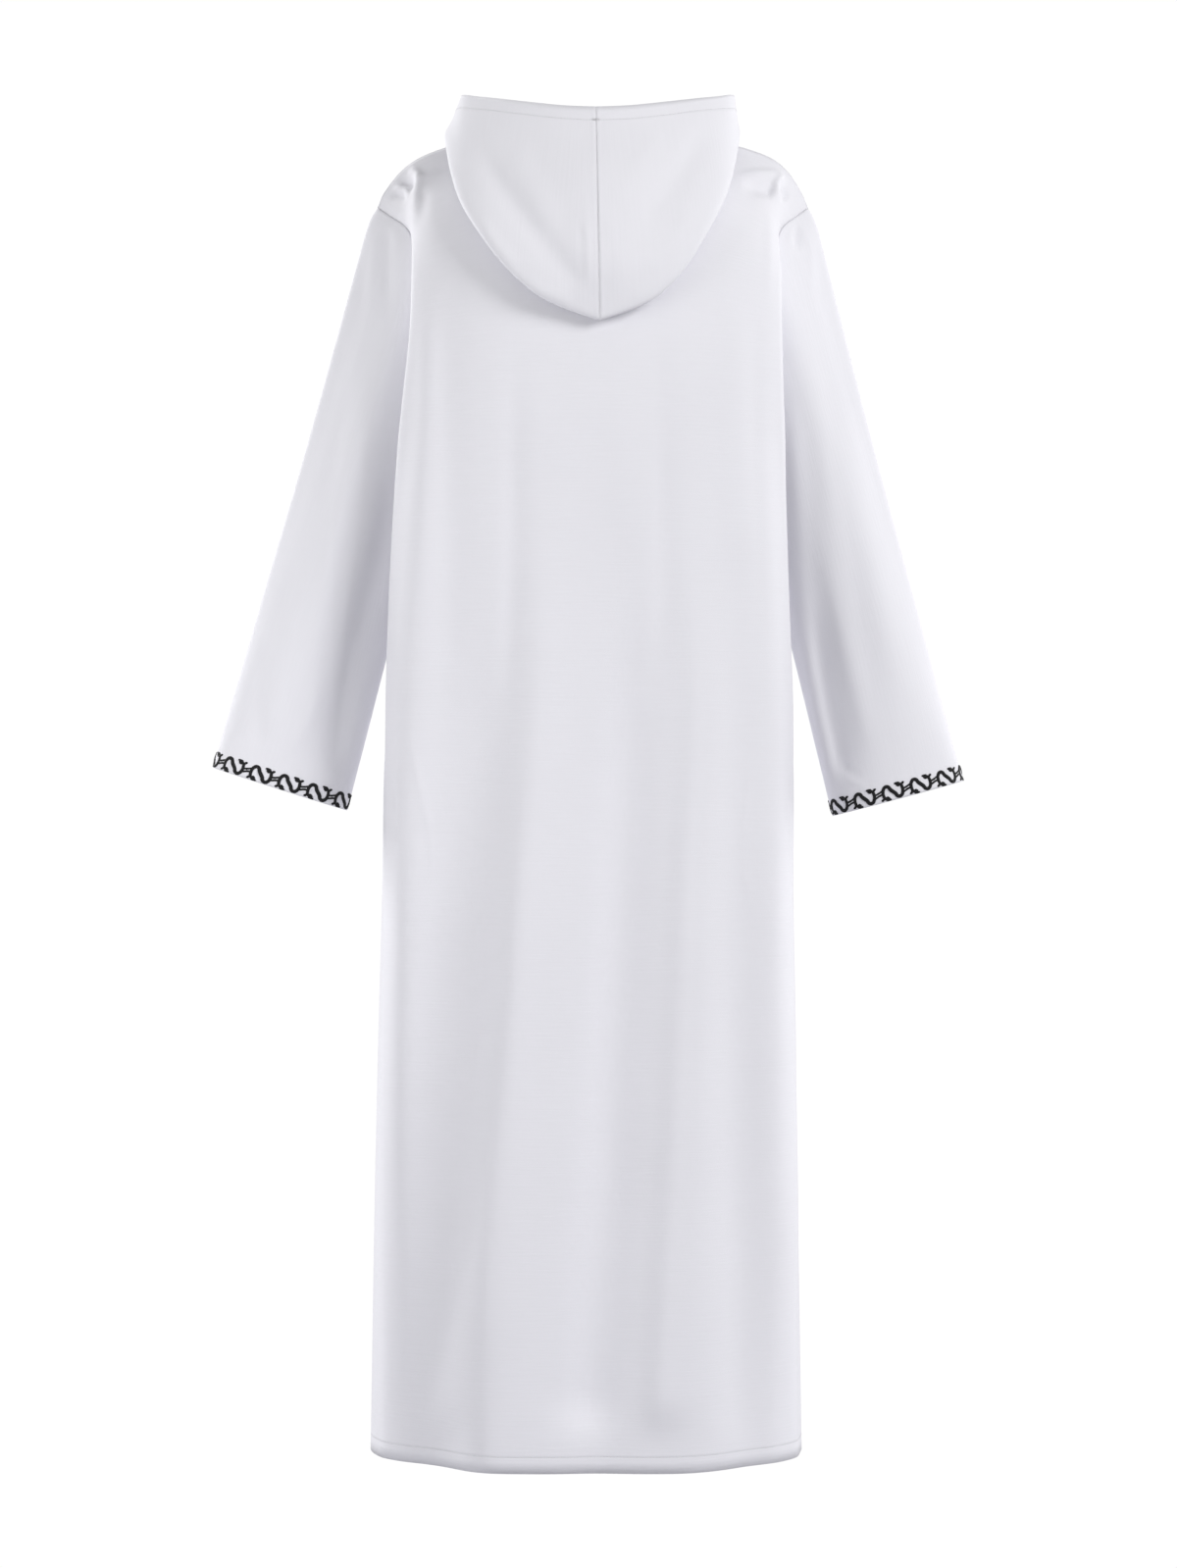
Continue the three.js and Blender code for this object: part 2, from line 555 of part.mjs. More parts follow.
/** A pocket bag: two layers hanging from the side seam against the inside of the back. */
function makePocket(side) {
  const { grid, normals } = panels.back;
  const columns = [];
  for (let k = 0; k <= POCKET.columns; k++) columns.push(side > 0 ? k : LAST_COLUMN - k);
  const outer = [];
  const inner = [];
  for (let r = POCKET.lowRow; r <= POCKET.highRow; r++) {
    const at = (depth) => columns.map((c, k) => {
      const slant = r === POCKET.lowRow ? 0.35 * (1 - k / POCKET.columns) : 0;
      const edgeIn = k === 0 ? SEAM : 0;
      return grid[r][c].clone().lerp(grid[r + 1][c], slant)
        .addScaledVector(normals[r][c], -depth).add(vec(0, edgeIn, 0));
    });
    outer.push(at(WALL + SEAM));
    inner.push(at(WALL + SEAM + POCKET_WALL));
  }
  return piece(`pocket_bag_${sideName(side)}`, wallGeometry(outer, inner, false), COTTON);
}

const qamis = new THREE.Group();
for (const sleeve of SLEEVES) qamis.add(makeSleeve(sleeve), makeTrim(sleeve));
for (const side of [1, -1]) qamis.add(makeHood(side), makePocket(side));
for (const face of ["back", "front"]) {
  const { grid, normals } = panels[face];
  qamis.add(piece(`${face}_panel`, wallGeometry(grid, inside(grid, normals), false), COTTON));
}

export default qamis;
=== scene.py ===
"""Dresses the hooded qamis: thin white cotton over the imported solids, with its creases, sewing and
the black corded embroidery round its cuffs.

Every object is in metres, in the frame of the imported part: the front faces -Y and +Z is up.
"""
from __future__ import annotations

import logging
import math
from dataclasses import dataclass
from enum import Enum

import bmesh
import bpy
import numpy as np
from mathutils import Matrix, Vector, noise
from mathutils.kdtree import KDTree

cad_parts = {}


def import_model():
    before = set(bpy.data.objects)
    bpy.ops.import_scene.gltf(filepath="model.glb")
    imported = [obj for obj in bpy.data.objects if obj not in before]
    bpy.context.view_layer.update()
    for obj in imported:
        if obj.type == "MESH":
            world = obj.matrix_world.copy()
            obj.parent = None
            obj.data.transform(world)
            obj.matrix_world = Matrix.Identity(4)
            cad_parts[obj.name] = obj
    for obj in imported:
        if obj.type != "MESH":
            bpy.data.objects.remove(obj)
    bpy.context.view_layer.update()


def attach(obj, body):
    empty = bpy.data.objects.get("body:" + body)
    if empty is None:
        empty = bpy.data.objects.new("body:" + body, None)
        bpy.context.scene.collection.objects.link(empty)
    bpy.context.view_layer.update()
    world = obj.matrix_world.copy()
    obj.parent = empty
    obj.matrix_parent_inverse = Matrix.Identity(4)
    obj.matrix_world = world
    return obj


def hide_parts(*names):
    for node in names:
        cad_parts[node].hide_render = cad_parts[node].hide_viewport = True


LOG = logging.getLogger("qamis")
BODY = "root"
CLOTH_MAP = "Cloth"  # the UV map that the weave follows, in metres along the cloth
FROM_HEM = "from_hem"  # the attribute that keeps the distance from the row of stitches
FROM_SEAM = "from_seam"  # the attribute that keeps the distance from the seams
BACKGROUND = 1.02  # how bright the camera sees the studio
MM = 0.001
WALL = 0.002  # thickness of the solids' wall
WALL_ERROR = 6e-6  # how far the length of an edge across the wall may be off
SAME_POINT = 1e-5  # points of a solid that are closer than this are one
NO_STITCHES = -1.0  # a row this deep is nowhere on the cloth
CLOTH = 0.0009  # thickness of the cloth that shows
SEAM_REACH = 0.00014  # how far a sewn edge reaches into the gap at a seam
FINE_LEVELS = 3
FITTING_ROUNDS = 4  # how often the smooth mesh is drawn back to the solid's points
FITTING_SHARE = 0.9  # the share of the gap that each round closes
CALM_EDGE = 0.02  # creases die out this close to an edge
SWELLS = ((0.075, 0.0, 1.0), (0.032, 7.3, 0.3))  # the cloth's unevenness: size, seed and share
VIEW_DISTANCE = 4.6  # crease lines are laid as seen from this far behind or in front
VIEW_MIDDLE = np.array([0.002, -0.6687])


class Facing(Enum):
    """The side of the garment that a crease lies on."""

    BACK = 1.0
    FRONT = -1.0


class Edge(Enum):
    """How a boundary of a piece of cloth is finished."""

    SEWN = "sewn"
    OPEN = "open"


# Shader maths


class Signal:
    """One value in a shader tree. Its operators add Math nodes."""

    def __init__(self, shader: "Shader", socket: bpy.types.NodeSocket) -> None:
        """Keeps the tree and the socket that carries the value."""
        self.shader = shader
        self.socket = socket

    def _math(self, operation: str, *values: "Signal | float") -> "Signal":
        """Adds one Math node and returns its result."""
        return self.shader.node("ShaderNodeMath", {"operation": operation},
                                dict(enumerate(values)))

    def __add__(self, other: "Signal | float") -> "Signal":
        """Adds."""
        return self._math("ADD", self, other)

    __radd__ = __add__

    def __sub__(self, other: "Signal | float") -> "Signal":
        """Subtracts other from this."""
        return self._math("SUBTRACT", self, other)

    def __rsub__(self, other: float) -> "Signal":
        """Subtracts this from other."""
        return self._math("SUBTRACT", other, self)

    def __mul__(self, other: "Signal | float") -> "Signal":
        """Multiplies."""
        return self._math("MULTIPLY", self, other)

    __rmul__ = __mul__

    def sine(self) -> "Signal":
        """The sine of the value, in radians."""
        return self._math("SINE", self)

    def bell(self, middle: float, width: float) -> "Signal":
        """1 where the value is middle, falling to 0 a few widths away.

        Args:
            middle: The value at the top of the bell.
            width: How far from the middle the bell has fallen to about a third.

        Returns:
            The bell as a signal.
        """
        away = (self - middle) * (1.0 / width)
        return self._math("EXPONENT", away * away * -1.0)


class Shader:
    """A material's tree, and the nodes that the finishes share."""

    MIX_FIRST, MIX_SECOND, MIX_RESULT = 6, 7, 2  # a colour Mix node's sockets

    def __init__(self, name: str) -> None:
        """Makes an empty material.

        Args:
            name: The material's name.
        """
        self.material = bpy.data.materials.new(name)
        self.material.use_nodes = True
        self.tree = self.material.node_tree
        self.tree.nodes.clear()

    def node(self, kind: str, settings: dict | None = None, inputs: dict | None = None,
             output: int | str = 0) -> Signal:
        """Adds a node.

        Args:
            kind: The node's type.
            settings: Its properties, set before its sockets are used.
            inputs: A value or a signal for each socket, by name or by number.
            output: The output that the returned signal carries.

        Returns:
            That output as a signal.
        """
        made = self.tree.nodes.new(kind)
        for key, value in (settings or {}).items():
            setattr(made, key, value)
        for key, value in (inputs or {}).items():
            if isinstance(value, Signal):
                self.tree.links.new(value.socket, made.inputs[key])
            else:
                made.inputs[key].default_value = value
        return Signal(self, made.outputs[output])

    def attribute(self, name: str) -> Signal:
        """The value that a piece keeps under that name."""
        return self.node("ShaderNodeAttribute", {"attribute_name": name}, output="Fac")

    def place(self) -> Signal:
        """The place on the object."""
        return self.node("ShaderNodeTexCoord", None, None, "Object")

    def split(self, vector: Signal) -> tuple[Signal, Signal, Signal]:
        """The three parts of a vector.

        Args:
            vector: The vector.

        Returns:
            Its x, y and z.
        """
        first = self.node("ShaderNodeSeparateXYZ", None, {0: vector})
        outputs = first.socket.node.outputs
        return first, Signal(self, outputs[1]), Signal(self, outputs[2])

    def tinted(self, colour: tuple[float, float, float], shade: Signal) -> Signal:
        """A colour that a shade makes lighter and darker.

        Args:
            colour: The colour where the shade is 1.
            shade: The share of the colour that is left.

        Returns:
            The shaded colour.
        """
        grey = self.node("ShaderNodeCombineXYZ", None, {0: shade, 1: shade, 2: shade})
        return self.node("ShaderNodeMix", {"data_type": "RGBA", "blend_type": "MULTIPLY"},
                         {"Factor": 1.0, self.MIX_FIRST: (*colour, 1.0), self.MIX_SECOND: grey},
                         self.MIX_RESULT)

    def bumped(self, height: Signal, strength: float) -> Signal:
        """The normal of a surface that stands out by a height in metres."""
        return self.node("ShaderNodeBump", None,
                         {"Strength": strength, "Distance": 1.0, "Height": height})

    def surface(self, sockets: dict) -> Signal:
        """The surface with the given values and signals in its sockets."""
        return self.node("ShaderNodeBsdfPrincipled", None, sockets)

    def finish(self, surface: Signal) -> bpy.types.Material:
        """Links the surface to the material's output.

        Args:
            surface: What the material shows.

        Returns:
            The material.
        """
        made = self.tree.nodes.new("ShaderNodeOutputMaterial")
        self.tree.links.new(surface.socket, made.inputs["Surface"])
        return self.material


# Finishes


@dataclass(frozen=True)
class PressedLine:
    """A soft line in the cloth beside an edge or a row of stitches. A groove carries painted shade.

    Attributes:
        away: Its distance from the seam or the row, in metres.
        width: How wide it is, in metres.
        depth: How deep it is or, for a lip, how far it stands out, in metres.
        shade: Painted shade: how much darker the cloth's colour is painted in it, where shade falls
            in the groove.
    """

    away: float
    width: float
    depth: float
    shade: float = 0.0


@dataclass(frozen=True)
class CottonFinish:
    """Plain woven white cotton with a fine thread and faint slubs down its length.

    Attributes:
        name: The material's name.
        colour: The cloth's colour.
        roughness: Its roughness where no slub lies.
        sheen: The weight of its sheen.
        specular: The strength of its plain shine.
        thread: The distance between every other thread, in metres.
        weave_depth: How far the threads stand out, in metres.
        weave_painted_shade: Painted shade: how much darker the cloth's colour is painted between
            them.
        slubs: How close the slubs are across the cloth and down it, each metre.
        slub_depth: How far a slub stands out, in metres.
        slub_shade: How much darker a slub is.
        slub_roughness: How much rougher a slub is.
        clouds: How close the pale and dark clouds are, each metre.
        mottle: How much they change the cloth.
        row: The line that a row of stitches presses in, with its painted shade.
        seam: The line that a seam presses in, with its painted shade.
        lip: The rise beside a seam, where its allowance lies under the cloth.
        relief: How strongly all these lines catch the light.
    """

    name: str = "white_cotton"
    colour: tuple[float, float, float] = (0.813, 0.808, 0.853)
    roughness: float = 0.82
    sheen: float = 0.22
    specular: float = 0.25
    thread: float = 0.0011
    weave_depth: float = 0.00005
    weave_painted_shade: float = 0.012
    slubs: tuple[float, float, float] = (420.0, 26.0, 1.0)
    slub_depth: float = 0.00022
    slub_shade: float = 0.02
    slub_roughness: float = 0.08
    clouds: float = 9.0
    mottle: float = 0.018
    row: PressedLine = PressedLine(0.0, 0.0011, 0.00045, 0.03)
    seam: PressedLine = PressedLine(0.0, 0.0016, 0.0003, 0.012)
    lip: PressedLine = PressedLine(0.0034, 0.0018, 0.0002)
    relief: float = 0.55

    def build(self) -> bpy.types.Material:
        """Builds the cloth: weave and slubs as bump, with sewn lines pressed in, and painted shade
        between the threads and in the pressed lines.

        Returns:
            The material.
        """
        shader = Shader(self.name)
        flat = shader.node("ShaderNodeUVMap", {"uv_map": CLOTH_MAP})
        across, down, _ = shader.split(flat)
        turn = 2.0 * math.pi / self.thread
        weft = (across * turn).sine()
        warp = (down * turn).sine()
        weave = weft * warp
        stretched = shader.node("ShaderNodeVectorMath", {"operation": "MULTIPLY"},
                                {0: flat, 1: self.slubs})
        slub = shader.node("ShaderNodeTexNoise", {"noise_dimensions": "2D"},
                           {"Vector": stretched, "Scale": 1.0, "Detail": 3.0})
        cloudy = shader.node("ShaderNodeTexNoise", None,
                             {"Vector": shader.place(), "Scale": self.clouds, "Detail": 2.0,
                              "Roughness": 0.4})
        sewn = shader.attribute(FROM_HEM).bell(self.row.away, self.row.width)
        beside = shader.attribute(FROM_SEAM)
        pressed = beside.bell(self.seam.away, self.seam.width)
        lip = beside.bell(self.lip.away, self.lip.width)
        height = (weave * self.weave_depth + slub * self.slub_depth
                  - sewn * self.row.depth - pressed * self.seam.depth + lip * self.lip.depth)
        shade = (1.0 - self.mottle) + cloudy * (2.0 * self.mottle) - slub * self.slub_shade
        # Painted shade: the cloth is painted darker between the threads of the weave and in the
        # pressed lines of rows and seams.
        shade = (shade + weave * self.weave_painted_shade
                 - sewn * self.row.shade - pressed * self.seam.shade)
        return shader.finish(shader.surface({
            "Base Color": shader.tinted(self.colour, shade),
            "Roughness": self.roughness + slub * self.slub_roughness,
            "Normal": shader.bumped(height, self.relief),
            "Sheen Weight": self.sheen, "Sheen Roughness": 0.5,
            "Specular IOR Level": self.specular}))


@dataclass(frozen=True)
class PocketingFinish:
    """The plainer, slightly looser cloth of the pocket bags.

    Attributes:
        name: The material's name.
        colour: The cloth's colour.
        thread: The distance between every other thread, in metres.
        slant: How much of the depth is added to the width, so that the weave turns corners.
        clouds: How close the pale and dark clouds are, each metre.
        weave_depth: How far the threads stand out, in metres.
        cloud_depth: How far the clouds stand out, in metres.
    """

    name: str = "pocketing"
    colour: tuple[float, float, float] = (0.76, 0.755, 0.765)
    thread: float = 0.0014
    slant: float = 0.6
    clouds: float = 30.0
    weave_depth: float = 0.00009
    cloud_depth: float = 0.0004

    def build(self) -> bpy.types.Material:
        """Builds the cloth from its place on the object, because its node keeps its own mesh.

        Returns:
            The material.
        """
        shader = Shader(self.name)
        place = shader.place()
        x, y, z = shader.split(place)
        turn = 2.0 * math.pi / self.thread
        weave = ((x + y * self.slant) * turn).sine() * (z * turn).sine()
        cloudy = shader.node("ShaderNodeTexNoise", None,
                             {"Vector": place, "Scale": self.clouds, "Detail": 3.0})
        height = weave * self.weave_depth + cloudy * self.cloud_depth
        # Its colour: the clouds are the cloth's own tone; the weave is painted shade, darker between
        # its threads.
        return shader.finish(shader.surface({
            "Base Color": shader.tinted(self.colour, 0.95 + cloudy * 0.08 + weave * 0.03),
            "Roughness": 0.85 + cloudy * 0.06, "Normal": shader.bumped(height, 0.5),
            "Sheen Weight": 0.15, "Specular IOR Level": 0.2}))


@dataclass(frozen=True)
class ThreadFinish:
    """Twisted thread, shiny enough to catch the light along its turns.

    Attributes:
        name: The material's name.
        colour: The thread's colour.
        roughness: Its roughness between its fibres.
        twist: The distance between two of its turns, in metres.
        lean: How much the turns lean.
        fibres: How close its fibres are, each metre.
        turn_depth: How far a turn stands out, in metres.
        fibre_depth: How far a fibre stands out, in metres.
    """

    name: str
    colour: tuple[float, float, float]
    roughness: float = 0.5
    twist: float = 0.0009
    lean: float = 0.8
    fibres: float = 900.0
    turn_depth: float = 0.00012
    fibre_depth: float = 0.00015

    def build(self) -> bpy.types.Material:
        """Builds the thread with its satin stitches as fine diagonal ridges, painted lighter on
        their crests and darker between them.

        Returns:
            The material.
        """
        shader = Shader(self.name)
        place = shader.place()
        x, y, z = shader.split(place)
        ridge = ((x + y + z * self.lean) * (2.0 * math.pi / self.twist)).sine()
        fibre = shader.node("ShaderNodeTexNoise", None,
                            {"Vector": place, "Scale": self.fibres, "Detail": 2.0})
        height = ridge * self.turn_depth + fibre * self.fibre_depth
        # Its colour: painted light and shade, lighter on the turns' crests and darker between them;
        # the fibres vary in tone.
        return shader.finish(shader.surface({
            "Base Color": shader.tinted(self.colour, 0.8 + ridge * 0.14 + fibre * 0.2),
            "Roughness": self.roughness + fibre * 0.15, "Normal": shader.bumped(height, 0.6),
            "Sheen Weight": 0.02, "Specular IOR Level": 0.25}))


@dataclass(frozen=True)
class StudioFinish:
    """The pale floor of the studio, which the camera sees as plain white.

    Attributes:
        name: The material's name.
        colour: The floor's colour, which lights the hem from below.
        glow: How bright the camera sees it.
    """

    name: str = "studio_floor"
    colour: tuple[float, float, float] = (0.46, 0.46, 0.49)
    glow: float = BACKGROUND

    def build(self) -> bpy.types.Material:
        """Builds the floor's matte surface and the white that the camera sees.

        Returns:
            The material.
        """
        shader = Shader(self.name)
        cloudy = shader.node("ShaderNodeTexNoise", None, {"Vector": shader.place(), "Scale": 3.0})
        matte = shader.surface({
            "Base Color": (*self.colour, 1.0), "Roughness": 0.85 + cloudy * 0.1,
            "Specular IOR Level": 0.0})
        white = shader.node("ShaderNodeEmission", None, {"Strength": self.glow})
        seen = shader.node("ShaderNodeLightPath", None, None, "Is Camera Ray")
        return shader.finish(shader.node("ShaderNodeMixShader", None,
                                         {0: seen, 1: matte, 2: white}))


@dataclass(frozen=True)
class Finishes:
    """The materials, each built once."""

    cotton: bpy.types.Material
    pocketing: bpy.types.Material
    black_thread: bpy.types.Material
    white_thread: bpy.types.Material

    @classmethod
    def build(cls) -> "Finishes":
        """Builds them all.

        Returns:
            The materials.
        """
        return cls(
            cotton=CottonFinish().build(),
            pocketing=PocketingFinish().build(),
            black_thread=ThreadFinish("black_thread", (0.007, 0.007, 0.008)).build(),
            white_thread=ThreadFinish("white_thread", (0.80, 0.795, 0.82), 0.6, 0.0006).build(),
        )


# Creases


@dataclass(frozen=True)
class Crease:
    """A soft trough or ridge in the cloth, laid along a line seen from the back.

    Attributes:
        line: Points (x, z) in millimetres from one end to the other.
        depth: How far it stands out, in millimetres. Below zero is a trough.
        width: Half its width in millimetres.
        sharp: From -1 to 1: how much steeper it is on the side of +x (above 0) or of -x.
        facing: The side of the garment that it lies on.
        fade: The share of its length in which it dies out at its first and at its last end.
        through: Whether it runs on over a seam. Both pieces then have it, and it lifts the
            cloth straight out.
    """

    line: tuple[tuple[float, float], ...]
    depth: float
    width: float
    sharp: float = 0.0
    facing: Facing = Facing.BACK
    fade: tuple[float, float] = (0.25, 0.25)
    through: bool = False

    STEEPENING = 0.55  # how much narrower the steep side is
    TURNED_AWAY, FACING_IT = 0.02, 0.3  # how far the cloth faces the side, from none to all
    PAST_MIDDLE = -0.02  # how far past the middle of the garment the crease still lifts

    def lift(self, points: np.ndarray, normals: np.ndarray) -> np.ndarray:
        """How far the crease moves each point.

        Args:
            points: The points, in metres.
            normals: Their unit normals.

        Returns:
            One length a point, in metres, along its normal.
        """
        line = _smooth_line(np.array(self.line, float) * MM)
        nearer = 1.0 / (1.0 - points[:, 1:2] * self.facing.value / VIEW_DISTANCE)
        flat = VIEW_MIDDLE + (points[:, (0, 2)] - VIEW_MIDDLE) * nearer
        steps = np.diff(line, axis=0)
        lengths = np.linalg.norm(steps, axis=1)
        reached = np.concatenate([[0.0], np.cumsum(lengths)])
        nearest = np.full(len(flat), 1e9)
        along = np.zeros(len(flat))
        signed = np.zeros(len(flat))
        for start, step, length, before in zip(line[:-1], steps, lengths, reached[:-1]):
            away = flat - start
            t = np.clip(away @ step / length**2, 0.0, 1.0)
            gap = away - t[:, None] * step
            distance = np.linalg.norm(gap, axis=1)
            closer = distance < nearest
            nearest = np.where(closer, distance, nearest)
            along = np.where(closer, before + t * length, along)
            side = np.sign(gap[:, 0] if abs(step[1]) > abs(step[0]) else gap[:, 1])
            signed = np.where(closer, distance * side, signed)
        share = along / reached[-1]
        width = self.width * MM * (1.0 - self.STEEPENING * self.sharp * np.sign(signed))
        bell = np.exp(-((signed / width) ** 2))
        taper = _ease(0.0, self.fade[0], share) * (1.0 - _ease(1.0 - self.fade[1], 1.0, share))
        faces = _ease(self.TURNED_AWAY, self.FACING_IT, normals[:, 1] * self.facing.value)
        side_of = (points[:, 1] * self.facing.value > self.PAST_MIDDLE).astype(float)
        return self.depth * MM * bell * taper * faces * side_of


def _ease(low: float, high: float, value: np.ndarray) -> np.ndarray:
    """0 below low, 1 above high, and an even S between them."""
    t = np.clip((value - low) / max(high - low, 1e-9), 0.0, 1.0)
    return t * t * (3.0 - 2.0 * t)


def _smooth_line(points: np.ndarray, steps: int = 5) -> np.ndarray:
    """A rounder line through the given points.

    Args:
        points: Two or more points.
        steps: Points found in each span.

    Returns:
        The points of the rounder line.
    """
    if len(points) < 3:
        return points
    padded = np.vstack([2 * points[0] - points[1], points, 2 * points[-1] - points[-2]])
    found = []
    for a, b, c, d in zip(padded[:-3], padded[1:-2], padded[2:-1], padded[3:]):
        for t in np.arange(steps) / steps:
            found.append(0.5 * (2 * b + (c - a) * t + (2 * a - 5 * b + 4 * c - d) * t**2
                                + (3 * b - a - 3 * c + d) * t**3))
    return np.array([*found, points[-1]])


def _ruffle(points: np.ndarray, size: float, seed: float) -> np.ndarray:
    """Soft unevenness, from -1 to 1, at every point.

    Args:
        points: The points, in metres.
        size: The length of one swell across the cloth, in metres. It is longer down the cloth.
        seed: Moves the pattern, so that two pieces differ.

    Returns:
        One value a point.
    """
    moved = points / np.array([size, size, size * 3.2]) + seed
    return np.array([noise.noise(Vector(place)) for place in moved])


def new_piece(name: str, shape: bmesh.types.BMesh, material: bpy.types.Material
              ) -> bpy.types.Object:
    """Makes an object of a shape.

    Args:
        name: The object's name.
        shape: The shape, which is freed.
        material: Its finish.

    Returns:
        The object, linked to the scene.
    """
    mesh = bpy.data.meshes.new(name)
    shape.to_mesh(mesh)
    shape.free()
    mesh.materials.append(material)
    mesh.shade_smooth()
    piece = bpy.data.objects.new(name, mesh)
    bpy.context.scene.collection.objects.link(piece)
    LOG.info("%s: %d faces", name, len(mesh.polygons))
    return piece


@dataclass(frozen=True)
class Path:
    """A line on the cloth, with the cloth's normal at each of its points, in metres."""

    points: np.ndarray
    normals: np.ndarray

    def lengths(self) -> np.ndarray:
        """How far along the line each point is."""
        steps = np.linalg.norm(np.diff(self.points, axis=0), axis=1)
        return np.concatenate([[0.0], np.cumsum(steps)])

    def at(self, reached: np.ndarray) -> tuple[np.ndarray, np.ndarray]:
        """The places and unit normals at some lengths along the line.

        Args:
            reached: The lengths, in metres from the line's first point.

        Returns:
            The places, and the normals.
        """
        lengths = self.lengths()
        places = np.stack([np.interp(reached, lengths, self.points[:, k]) for k in range(3)], 1)
        normals = np.stack([np.interp(reached, lengths, self.normals[:, k]) for k in range(3)], 1)
        return places, normals / np.linalg.norm(normals, axis=1)[:, None]


def walk_inward(fine: bpy.types.Mesh, chain: np.ndarray, depth: float) -> Path:
    """The line on the cloth that runs beside an open edge at an even distance.

    Args:
        fine: The cloth's mesh, of quads.
        chain: The edge's point numbers in order.
        depth: The distance from the edge, in metres.

    Returns:
        The line.
    """
    sheet = bmesh.new()
    sheet.from_mesh(fine)
    sheet.verts.ensure_lookup_table()
    places, normals = [], []
    for number in chain:
        vert = sheet.verts[number]
        inner = [edge for edge in vert.link_edges if not edge.is_boundary]
        edge = inner[0] if inner else next(
            e for e in vert.link_edges if e.other_vert(vert).index not in set(chain.tolist()))
        left = depth
        while edge.calc_length() < left:
            left -= edge.calc_length()
            vert = edge.other_vert(vert)
            edge = _straight_on(edge, vert)
        share = left / edge.calc_length()
        other = edge.other_vert(vert)
        places.append(vert.co.lerp(other.co, share))
        normals.append(vert.normal.lerp(other.normal, share).normalized())
    sheet.free()
    return Path(np.array(places), np.array(normals))


def _straight_on(edge: bmesh.types.BMEdge, vert: bmesh.types.BMVert) -> bmesh.types.BMEdge:
    """The edge that goes straight on from an edge through one of its points.

    Args:
        edge: The edge.
        vert: The point.

    Returns:
        The next edge.
    """
    shared = set(edge.link_faces)
    ahead = [other for other in vert.link_edges if other is not edge
             and not shared.intersection(other.link_faces)]
    if ahead:
        return ahead[0]
    return next(other for other in vert.link_edges if other is not edge and other.is_boundary)


@dataclass(frozen=True)
class StitchRow:
    """A row of machine stitches beside an open edge.

    Attributes:
        depth: The row's distance from the edge, in metres.
        length: The length of a stitch that shows, in metres.
        gap: The gap between two stitches, in metres.
        thick: Half the thread's thickness, in metres.
        tack: Whether a short bar tack crosses the row's end.
        tack_count: The stitches in the bar tack.
        tack_pitch: The distance between two of them, in metres.
        tack_lean: Half of one of them, from its middle to its upper end, in metres.
    """

    depth: float
    length: float = 0.0026
    gap: float = 0.0008
    thick: float = 0.00026
    tack: bool = False
    tack_count: int = 5
    tack_pitch: float = 0.0009
    tack_lean: tuple[float, float, float] = (0.0003, 0.0, 0.0022)

    def sew(self, seam: bmesh.types.BMesh, path: Path) -> None:
        """Adds the stitches along a path.

        Args:
            seam: The shape that takes them.
            path: The line on the cloth that they follow.
        """
        total = path.lengths()[-1]
        pitch = self.length + self.gap
        starts = np.arange(self.gap, total - pitch, pitch)
        first, normals = path.at(starts)
        last, _ = path.at(starts + self.length)
        for a, b, up in zip(first, last, normals):
            self._stitch(seam, a, b, up)

    def bar_tack(self, seam: bmesh.types.BMesh, path: Path) -> None:
        """Adds close upright stitches over the row's end at the centre of the back.

        Args:
            seam: The shape that takes them.
            path: The line of the row.
        """
        places = path.points
        end = 0.0 if places[0, 1] > places[-1, 1] else path.lengths()[-1]
        inward = 1.0 if end == 0.0 else -1.0
        spots, normals = path.at(end + inward * np.arange(self.tack_count) * self.tack_pitch)
        lean = np.array(self.tack_lean)
        for place, up in zip(spots, normals):
            self._stitch(seam, place - lean, place + lean, up)

    def _stitch(self, seam: bmesh.types.BMesh, a: np.ndarray, b: np.ndarray, up: np.ndarray
                ) -> None:
        """Adds one stitch that lies on the cloth.

        Args:
            seam: The shape that takes it.
            a: Its first end.
            b: Its last end.
            up: The cloth's normal.
        """
        made = bmesh.ops.create_uvsphere(seam, u_segments=6, v_segments=4, radius=1.0)
        along = Vector(b - a)
        rise = Vector(up)
        side = rise.cross(along).normalized()
        rise = along.cross(side).normalized()
        turn = Matrix((along.normalized(), side, rise)).transposed().to_4x4()
        size = Matrix.Diagonal((along.length / 2, self.thick, self.thick * 0.8, 1.0))
        middle = Matrix.Translation(Vector((a + b) / 2) + rise * self.thick * 0.5)
        bmesh.ops.transform(seam, verts=made["verts"], matrix=middle @ turn @ size)


HEM = StitchRow(0.017)
RIM = StitchRow(0.016, tack=True)


# Embroidery


@dataclass(frozen=True)
class Stroke:
    """One satin-stitched line of the scroll.

    Attributes:
        line: Points (along, up) in millimetres from the middle of one repeat.
        heaviness: The stroke's half width in millimetres at its start, middle and end.
    """

    line: tuple[tuple[float, float], ...]
    heaviness: tuple[float, float, float]

    def turned(self) -> "Stroke":
        """The same stroke, turned half round the middle of the repeat."""
        return Stroke(tuple((-u, -v) for u, v in self.line), self.heaviness)


